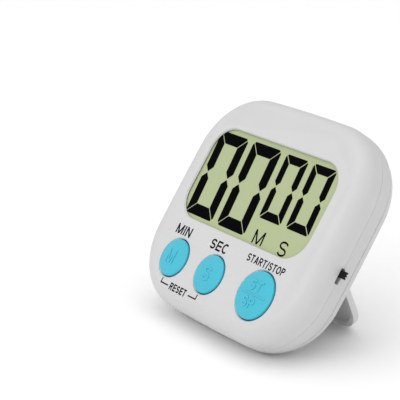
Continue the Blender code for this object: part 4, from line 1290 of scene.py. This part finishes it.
    def stand_space(self) -> list[bpy.types.Object]:
        """Tools for the stand's recess, its heel and its hinge pins."""
        clear = SIZES.clearance
        heel = SIZES.heel_half_width + clear
        reach = SIZES.stand_half_width + SIZES.pin_length + clear
        pins = Bench.hinge_rod(SIZES.pin_radius + clear, reach, 32)
        heel_space = block((-heel, heel), (SIZES.hinge_height - SIZES.heel, self.heel_top))
        return [
            Bench.prism("recess", stand_outline(clear, self.recess_top), self.recess_floor, BEHIND),
            Bench.prism("heel_space", heel_space, self.heel_floor, BEHIND),
            pins,
        ]

    def round_holes(self) -> list[bpy.types.Object]:
        """Tools for the screws, the magnets and the sound."""
        holes = []
        seat = self.screw_seat + self.wall_overlap
        for at in SIZES.case_screws:
            holes.append((circle(self.screw_bore, at, 28), SIZES.seam - OVER, seat))
            holes.append((circle(self.screw_head, at, 48), self.screw_seat, BEHIND))
        front = SIZES.depth - SIZES.magnet_thickness - self.pocket_gap
        for side in (-1, 1):
            at = (side * SIZES.magnet_x, SIZES.magnet_height)
            holes.append((circle(SIZES.magnet_radius + SIZES.clearance, at, 60), front, BEHIND))
        for column in (-1, 0, 1):
            for row in (-1, 0, 1):
                at = (column * self.hole_pitch, self.sounder_y + row * self.hole_pitch)
                holes.append((circle(self.hole_radius, at, 24), self.sound_front, BEHIND))
        return [Bench.prism("hole", *hole) for hole in holes]

    def build(self) -> None:
        """Models the shell and puts it on the case."""
        shell = self.outside()
        Bench.work(shell, Work.CUT, self.hollow())
        Bench.work(shell, Work.CUT, *self.cell_space(), *self.stand_space(), *self.round_holes())
        Bench.work(shell, Work.CUT, SlotTool().make())
        deliver(shell, WHITE, Body.CASE, ["rear_shell"])


@dataclass
class Stand:
    """The folding stand: a rimmed plate with a round foot, a heel and two hinge pins."""

    rim: float = 1.6
    hollow: float = 0.8
    head: float = 0.75
    edge: float = 0.35
    heel_inset: float = 0.05
    root: float = 2.0
    fillet: float = 0.4
    ribs: tuple[float, ...] = (-11.0, 0.0, 11.0)
    rib_half: float = 0.45
    rib_front: float = 0.25
    rib_root: float = 0.3

    def build(self) -> None:
        """Models the stand folded and puts it on its body, open."""
        back = SIZES.depth
        front = back - SIZES.stand_thickness
        stand = Bench.prism("stand_plate", stand_outline(0.0, SIZES.hinge_height + self.head), front, back)
        span = (SIZES.hinge_height, SIZES.hinge_height + SIZES.heel)
        heel = block((-SIZES.heel_half_width, SIZES.heel_half_width), span)
        Bench.add(stand, heel, front + self.heel_inset, back - self.heel_inset)
        size = (2 * (SIZES.stand_half_width - self.rim), SIZES.stand_length - 2 * self.rim - self.root)
        middle = (0.0, SIZES.hinge_height - self.root / 2 - SIZES.stand_length / 2)
        tray = rounded(*size, SIZES.stand_radius - self.rim, middle, 14)
        steps = [(0.0, OVER + self.hollow - self.fillet), *quarter_round(self.fillet, self.fillet, 4)]
        Bench.work(stand, Work.CUT, Bench.sweep("tray", tray, front - OVER, steps, -1))
        half = size[1] / 2 + self.fillet
        for x in self.ribs:
            rib = block((x - self.rib_half, x + self.rib_half), (middle[1] - half, middle[1] + half))
            Bench.add(stand, rib, front + self.rib_front, front + self.hollow + self.rib_root)
        Bench.soften(stand, self.edge)
        pins = Bench.hinge_rod(SIZES.pin_radius, SIZES.stand_half_width + SIZES.pin_length, 40)
        Bench.work(stand, Work.ADD, pins)
        deliver(stand, STAND_WHITE_PAINTED_LIGHTER, Body.STAND, ["folding_stand"], stand_placement())


@dataclass
class CellDoor:
    """The door over the cell, with its grip and the tabs that it turns on."""

    tab_thickness: float = 0.9
    tab_reach: float = 1.6
    tab_half: float = 1.5
    tab_middle: float = 3.125
    tab_drop: float = 0.6
    tab_root: float = 0.5
    corner: float = 0.8
    edge: float = 0.25
    ribs: int = 6
    rib_pitch: float = 1.5
    grip_start: float = 3.4
    grip_width: float = 0.7
    grip_height: float = 7.0
    grip_taper: float = 0.55
    grip_round: float = 0.3
    grip_depth: float = 0.35
    notch: tuple[float, float, float] = (2.8, 8.0, 0.6)

    def build(self) -> None:
        """Models the door and puts it on its body, shut."""
        half_x, half_y = SIZES.door_half_length, SIZES.door_half_width
        outline = rounded(2 * half_x, 2 * half_y, self.corner, (0.0, SIZES.cell_height), 8)
        flat = SIZES.depth - SIZES.door_inner - self.edge
        steps = [(0.0, flat), *quarter_round(self.edge, self.edge, 4)]
        door = Bench.sweep("door_plate", outline, SIZES.door_inner, steps, -1)
        for number in range(self.ribs):
            x = half_x - self.grip_start - number * self.rib_pitch
            height = self.grip_height - self.grip_taper * number
            groove = rounded(self.grip_width, height, self.grip_round, (x, SIZES.cell_height), 4)
            Bench.cut(door, groove, SIZES.depth - self.grip_depth, BEHIND)
        notch = rounded(*self.notch, (half_x, SIZES.cell_height), 6)
        Bench.cut(door, notch, SIZES.depth - 2 * self.grip_depth, BEHIND)
        back = SIZES.door_inner - self.tab_drop
        front = back - self.tab_thickness
        root = self.tab_drop - SIZES.tub_half_length
        for side in (-1, 1):
            place = SIZES.cell_height + side * self.tab_middle
            span = (place - self.tab_half, place + self.tab_half)
            foot = block((root, root + 2 * self.tab_drop), span)
            tab = block((-half_x - self.tab_reach, root + self.tab_drop), span)
            Bench.add(door, foot, front, SIZES.door_inner + self.tab_root)
            Bench.add(door, tab, front, back)
        deliver(door, WHITE, Body.DOOR, ["battery_door"])


@dataclass
class SwitchKnob:
    """The ridged knob of the power switch."""

    width: float = 0.9
    length: float = 2.1
    proud: float = 2.0
    top: float = -3.725
    tail: float = 33.4
    grooves: Point = (0.3, 0.7)
    groove_depth: float = 0.35
    groove_half: float = 0.14
    edge: float = 0.08

    def build(self) -> None:
        """Models the knob and puts it on its body."""
        end = SIZES.width / 2 + self.proud
        low = self.top - self.length
        front, back = SIZES.seam - self.width / 2, SIZES.seam + self.width / 2
        knob = Bench.prism("switch_knob", block((self.tail, end), (low, self.top)), front, back)
        for share in self.grooves:
            y, half = low + self.length * share, self.groove_half
            groove = block((end - self.groove_depth, end + OVER), (y - half, y + half))
            Bench.cut(knob, groove, front - OVER, back + OVER)
        Bench.soften(knob, self.edge, 2)
        deliver(knob, BLACK, Body.SWITCH, ["power_switch_knob"])


@dataclass
class Digit:
    """A zero made of six display segments with mitred corners."""

    name: str
    centre: Point
    width: float
    height: float
    stroke: float
    chamfer: float
    gap: float = 0.2
    middle_gap: float = 0.17
    slant: float = 0.075
    depth: float = 0.79
    thickness: float = 0.03

    def shapes(self) -> list[Outline]:
        """The top segment and the upper left one, then their mirror images."""
        w, h, s, c = self.width / 2, self.height / 2, self.stroke, self.chamfer
        d, m = self.gap, self.middle_gap
        top = [
            (-w + (c + d) / 2, h - (c - d) / 2), (-w + c, h), (w - c, h), (w - (c + d) / 2, h - (c - d) / 2),
            (w - s - d, h - s), (-w + s + d, h - s),
        ]
        left = [
            (-w + (c - d) / 2, h - (c + d) / 2), (-w, h - c), (-w, m + s / 2), (-w + s / 2, m),
            (-w + s, m + s / 2), (-w + s, h - s - d),
        ]
        flips = [(top, 1, 1), (top, 1, -1)] + [(left, sx, sy) for sx in (-1, 1) for sy in (-1, 1)]
        return [
            [(self.centre[0] + sx * x - self.slant * sy * y, self.centre[1] + sy * y) for x, y in shape]
            for shape, sx, sy in flips
        ]

    def build(self) -> None:
        """Models the digit and puts it on the display."""
        parts = [
            Bench.sweep("segment", shape, self.depth, [(0.0, self.thickness)]) for shape in self.shapes()
        ]
        deliver(Bench.merge(self.name, parts), SEGMENT_INK, Body.CASE)


@dataclass
class Display:
    """What shows on the display: four zeros and the letters of minutes and seconds."""

    big: tuple[float, float, float, float] = (13.6, 26.8, 3.5, 1.1)
    small: tuple[float, float, float, float] = (10.1, 19.9, 2.5, 0.8)
    small_gaps: Point = (0.22, 0.16)
    minutes: dict[str, Point] = field(default_factory=lambda: {
        "digit_minutes_tens": (-21.15, 6.6), "digit_minutes_units": (-5.1, 6.75),
    })
    seconds: dict[str, Point] = field(default_factory=lambda: {
        "digit_seconds_tens": (9.05, 9.95), "digit_seconds_units": (21.55, 10.05),
    })
    letters: dict[str, tuple[str, Point, Point]] = field(default_factory=lambda: {
        "display_letter_m": ("M", (9.1, -5.35), (4.5, 4.1)),
        "display_letter_s": ("S", (20.45, -5.6), (3.7, 4.4)),
    })
    pen: Pen = Pen(0.55, 0.79, 0.03, 0.075)

    def build(self) -> None:
        """Models the digits and the letters."""
        for name, centre in self.minutes.items():
            Digit(name, centre, *self.big).build()
        for name, centre in self.seconds.items():
            Digit(name, centre, *self.small, *self.small_gaps).build()
        for name, (text, centre, size) in self.letters.items():
            deliver(Bench.word(name, text, centre, size, self.pen), SEGMENT_INK, Body.CASE)


@dataclass
class Labels:
    """The words printed on the face and the bracket that ties two keys to one of them."""

    depth: float = -0.004
    thickness: float = 0.02
    words: dict[str, tuple[str, Point, Point, float]] = field(default_factory=lambda: {
        "label_min": ("MIN", (-21.85, -12.3), (7.4, 3.0), 0.56),
        "label_sec": ("SEC", (-3.65, -12.25), (8.4, 3.05), 0.56),
        "label_start_stop": ("START/STOP", (18.05, -11.45), (17.1, 2.3), 0.41),
        "label_reset": ("RESET", (-11.6, -28.75), (8.3, 2.2), 0.43),
    })
    left: float = -20.4
    right: float = -2.4
    top: float = -27.4
    low: float = -28.7
    reach: float = 3.8
    stroke: float = 0.4

    def bracket(self) -> bpy.types.Object:
        """Two angles that point from the keys to the word between them."""
        parts = []
        for x, way in ((self.left, 1), (self.right, -1)):
            upright = block((x - self.stroke / 2, x + self.stroke / 2), (self.low, self.top))
            ends = sorted((x - way * self.stroke / 2, x + way * self.reach))
            foot = block((ends[0], ends[1]), (self.low - self.stroke, self.low))
            for shape in (upright, foot):
                parts.append(Bench.sweep("bracket", shape, self.depth, [(0.0, self.thickness)]))
        return Bench.merge("label_reset_bracket", parts)

    def build(self) -> None:
        """Prints every label."""
        for name, (text, centre, size, stroke) in self.words.items():
            word = Bench.word(name, text, centre, size, Pen(stroke, self.depth, self.thickness))
            deliver(word, LABEL_INK, Body.CASE)
        deliver(self.bracket(), LABEL_INK, Body.CASE)


@dataclass
class Fasteners:
    """The four screws that close the case, and the two magnets beside the door."""

    head: float = 1.9
    head_height: float = 1.2
    head_wall: float = 0.45
    head_round: float = 0.75
    sunk: float = 0.6
    shank: float = 1.0
    tip: float = 4.3
    point: Point = (0.9, 0.45)
    point_room: float = 1.0
    arm: float = 1.102
    arm_half: float = 0.24
    recess: tuple[Step, ...] = ((0.0, 0.4), (0.12, 0.7))
    magnet_edge: float = 0.25
    names: tuple[str, ...] = ("top_left", "top_right", "bottom_left", "bottom_right")

    def screw(self, name: str, centre: Point) -> bpy.types.Object:
        """A pan-head screw with a cross recess."""
        seat = SIZES.depth - self.head_height - self.sunk
        wall = self.head_height * self.head_wall
        steps: list[Step] = [(0.0, wall), *quarter_round(self.head_round, self.head_height - wall, 6)]
        screw = Bench.sweep(name, circle(self.head, centre, 40), seat, steps, -1)
        Bench.pick(screw, Bench.level_at(-seat, 1))
        point, taper = self.point
        shank = [(self.head - self.shank, 0.0), (0.0, seat - self.tip - self.point_room), (taper, point)]
        Bench.grow(screw, shank, 1)
        Bench.close(screw)
        arm, half = self.arm, self.arm_half
        for x, y in ((arm, half), (half, arm)):
            limits = block((centre[0] - x, centre[0] + x), (centre[1] - y, centre[1] + y))
            cross = Bench.sweep("cross", limits, SIZES.depth, self.recess, 1)
            Bench.work(screw, Work.CUT, cross)
        return screw

    def magnet(self, name: str, side: int) -> bpy.types.Object:
        """A plated disc with a rounded edge."""
        back = SIZES.depth - SIZES.clearance
        outline = circle(SIZES.magnet_radius, (side * SIZES.magnet_x, SIZES.magnet_height), 80)
        edge = self.magnet_edge
        steps = [(0.0, SIZES.magnet_thickness - edge), *quarter_round(edge, edge, 4)]
        return Bench.sweep(name, outline, back - SIZES.magnet_thickness, steps, -1)

    def build(self) -> None:
        """Models the screws and the magnets and puts them on the case."""
        for place, centre in zip(self.names, SIZES.case_screws):
            screw = self.screw("closing_screw_" + place, centre)
            deliver(screw, STEEL, Body.CASE, ["case_screw_" + place])
        for place, side in (("left", -1), ("right", 1)):
            magnet = self.magnet("disc_magnet_" + place, side)
            deliver(magnet, MAGNET, Body.CASE, ["magnet_" + place])


@dataclass
class Cell:
    """The cell and the spring that presses on it."""

    length: float = 44.5
    nipple: float = 0.9
    nipple_radius: float = 1.9
    nipple_round: float = 0.2
    fold: float = 0.5
    sleeve_lap: float = 0.35
    sleeve_drop: float = 0.25
    disc_inset: float = 0.9
    disc_edge: float = 0.08
    disc_depth: float = 0.24
    cap_wall: float = 0.12
    plate_wall: float = 0.14
    plate_dish: tuple[Step, ...] = ((1.1, 0.0), (0.25, -0.08))
    contact: float = 0.4
    contact_gap: float = 0.15
    spring_length: float = 3.4
    spring_radius: float = 2.6
    spring_wire: float = 0.3
    spring_taper: float = 0.35
    turns: int = 4
    facets: int = 32

    def lay(self) -> Matrix:
        """Turns a piece that was modelled upright to lie along the tub."""
        place = Matrix.Translation((0.0, SIZES.cell_height, -SIZES.cell_depth))
        return placement() @ place @ Matrix.Rotation(math.pi / 2, 4, "Y")

    def start(self) -> float:
        """Where the cell's flat end lies along the tub."""
        return -SIZES.tub_half_length + self.contact + SIZES.clearance + self.spring_length

    def build(self) -> None:
        """Models the sleeve, both terminals and the spring."""
        start = self.start()
        end = start + self.length - self.nipple
        radius, fold = SIZES.cell_radius, self.fold
        shoulder = [*quarter_round(fold, fold, 5), (self.sleeve_lap, 0.0), (0.0, -self.sleeve_drop)]
        outline = circle(radius, (0.0, 0.0), 80)
        steps = [(0.0, end - start - 2 * fold), *shoulder]
        sleeve = Bench.sweep("cell_sleeve", outline, -start - fold, steps)
        Bench.pick(sleeve, Bench.level_at(start + fold, -1))
        Bench.grow(sleeve, shoulder, -1)
        deliver(Bench.close(sleeve), SLEEVE, Body.CASE, ["aaa_cell"], self.lay(), 30)
        disc = circle(radius - self.disc_inset, (0.0, 0.0), 64)
        edge = quarter_round(self.disc_edge, self.disc_edge, 3)
        flat = radius - self.disc_inset - self.disc_edge - self.nipple_radius
        round_top = quarter_round(self.nipple_round, self.nipple_round, 4)
        rise = self.nipple - 2 * self.disc_edge
        steps = [(0.0, self.cap_wall), *edge, (flat, 0.0), (0.0, rise), *round_top]
        cap = Bench.sweep("cell_positive_cap", disc, self.disc_depth - end, steps)
        deliver(cap, NICKEL, Body.CASE, (), self.lay())
        steps = [(0.0, self.plate_wall), *edge, *self.plate_dish]
        plate = Bench.sweep("cell_negative_plate", disc, -start - self.disc_depth, steps, -1)
        deliver(plate, NICKEL, Body.CASE, (), self.lay())
        self.spring(start)

    def spring(self, start: float) -> None:
        """The conical spring as a smooth wire."""
        clear = SIZES.clearance + self.spring_wire
        first = self.contact_gap + self.contact - SIZES.tub_half_length + clear
        last = start - clear
        curve = bpy.data.curves.new("cell_spring", "CURVE")
        curve.dimensions = "3D"
        curve.bevel_depth = self.spring_wire
        curve.bevel_resolution = 3
        curve.use_fill_caps = True
        count = self.turns * self.facets
        spline = curve.splines.new("POLY")
        spline.points.add(count)
        for k, point in enumerate(spline.points):
            turn = 2 * math.pi * k / self.facets
            radius = self.spring_radius * (1 - self.spring_taper * k / count)
            height = first + (last - first) * k / count
            point.co = (radius * math.cos(turn), radius * math.sin(turn), height, 1.0)
        spring = bpy.data.objects.new("cell_spring", curve)
        bpy.context.scene.collection.objects.link(spring)
        Bench.focus(spring)
        bpy.ops.object.convert(target="MESH")
        spring = bpy.context.active_object
        deliver(Bench.close(spring), NICKEL, Body.CASE, ["contact_spring"], self.lay())


@dataclass
class CarriedNodes:
    """The frame's own nodes that stay in view, each with its finish."""

    finishes: dict[str, Finish] = field(default_factory=lambda: {
        "display_front_film": LCD, "display_reflector": LCD, "display_front_glass": GLASS,
        "display_rear_glass": GLASS, "display_frame": NATURAL, "elastomer_connector": PINK_SILICONE,
        "rubber_keypad": SILICONE, "circuit_board": GREEN_BOARD, "controller_blob": EPOXY,
        "quartz_crystal": NICKEL, "capacitor_left": CHIP, "capacitor_right": CHIP,
        "sounder_transistor": EPOXY, "sounder_coil": BLACK, "sounder_plate": BRASS, "sounder_wafer": CERAMIC,
        "slide_switch": NICKEL, "positive_contact": NICKEL, "negative_contact": NICKEL,
        "cell_lead_red": RED_LEAD, "sounder_lead_red": RED_LEAD,
        "cell_lead_black": BLACK_LEAD, "sounder_lead_black": BLACK_LEAD,
        "min_plunger": SILICONE, "sec_plunger": SILICONE, "start_stop_plunger": SILICONE,
    })

    def build(self) -> None:
        """Dresses every node that is still shown."""
        for name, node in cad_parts.items():
            if node.hide_render:
                continue
            finish = STEEL if name.startswith("board_screw") else self.finishes[name]
            for slot in node.material_slots:
                slot.material = finish.material()
            log.info("%s: carried over in %s", name, finish.name)


@dataclass
class Studio:
    """The floor, the lights and the camera."""

    camera_from_film: Vector = field(default_factory=lambda: Vector((0.348942, -0.256096, 0.129549)))
    right: Vector = field(default_factory=lambda: Vector((0.56, 0.828, 0.0)))
    forward: Vector = field(default_factory=lambda: Vector((-0.793, 0.537, -0.290)))
    lens: float = 142.2
    floor_size: float = 8.0
    floor_drop: float = 0.0002
    aim: Vector = field(default_factory=lambda: Vector((0.0, 0.0, 0.03)))
    sky: Point = (0.42, 1.16)
    lightest: Vector = field(default_factory=lambda: Vector((0.25, -0.65, 0.72)))

    def floor(self) -> None:
        """A plain pale floor."""
        bpy.ops.object.select_all(action="DESELECT")
        bpy.ops.mesh.primitive_plane_add(size=self.floor_size, location=(0.0, 0.0, -self.floor_drop))
        floor = bpy.context.active_object
        floor.name = "floor"
        floor.data.materials.append(FLOOR.material())

    def lamp(self, name: str, place: tuple[float, float, float], size: float, power: float) -> None:
        """A soft square light that looks at the timer."""
        data = bpy.data.lights.new(name, "AREA")
        data.energy = power
        data.size = size
        lamp = bpy.data.objects.new(name, data)
        lamp.location = place
        lamp.rotation_euler = (self.aim - Vector(place)).to_track_quat("-Z", "Y").to_euler()
        bpy.context.scene.collection.objects.link(lamp)

    def surroundings(self) -> None:
        """White walls all round, lightest above and in front."""
        world = bpy.data.worlds.new("studio")
        world.use_nodes = True
        tree = world.node_tree
        wall = tree.nodes["Background"]
        wall.inputs["Color"].default_value = (1.0, 1.0, 1.0, 1.0)
        facing = tree.nodes.new("ShaderNodeVectorMath")
        facing.operation = "DOT_PRODUCT"
        facing.inputs[1].default_value = self.lightest
        tree.links.new(tree.nodes.new("ShaderNodeTexCoord").outputs["Generated"], facing.inputs[0])
        fade = tree.nodes.new("ShaderNodeMapRange")
        fade.inputs["From Min"].default_value = -1.0
        fade.inputs["To Min"].default_value, fade.inputs["To Max"].default_value = self.sky
        tree.links.new(facing.outputs["Value"], fade.inputs["Value"])
        tree.links.new(fade.outputs["Result"], wall.inputs["Strength"])
        bpy.context.scene.world = world

    def build(self) -> None:
        """Sets up the studio."""
        self.floor()
        self.surroundings()
        self.lamp("top_light", (0.1, 0.1, 1.4), 1.2, 3.0)
        self.lamp("front_light", (0.35, -1.1, 0.7), 0.9, 2.0)
        data = bpy.data.cameras.new("camera")
        data.sensor_width = 36.0
        data.lens = self.lens
        data.clip_start = 0.01
        camera = bpy.data.objects.new("camera", data)
        right = self.right.normalized()
        forward = self.forward.normalized()
        up = right.cross(forward).normalized()
        turn = Matrix((right, up, -forward)).transposed().to_4x4()
        low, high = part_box("display_front_film")
        camera.matrix_world = Matrix.Translation((low + high) / 2 + self.camera_from_film) @ turn
        bpy.context.scene.collection.objects.link(camera)
        bpy.context.scene.camera = camera
        bpy.context.scene.view_settings.view_transform = "Standard"


def main() -> None:
    """Builds the timer on its frame and the studio round it."""
    logging.basicConfig(level=logging.INFO, format="%(message)s")
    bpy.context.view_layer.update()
    for assembly in (
        FrontShell(), RearShell(), Keys(), Display(), Labels(), SwitchKnob(), Stand(), CellDoor(),
        Fasteners(), Cell(), CarriedNodes(), Studio(),
    ):
        assembly.build()


if __name__ == "__main__":
    main()
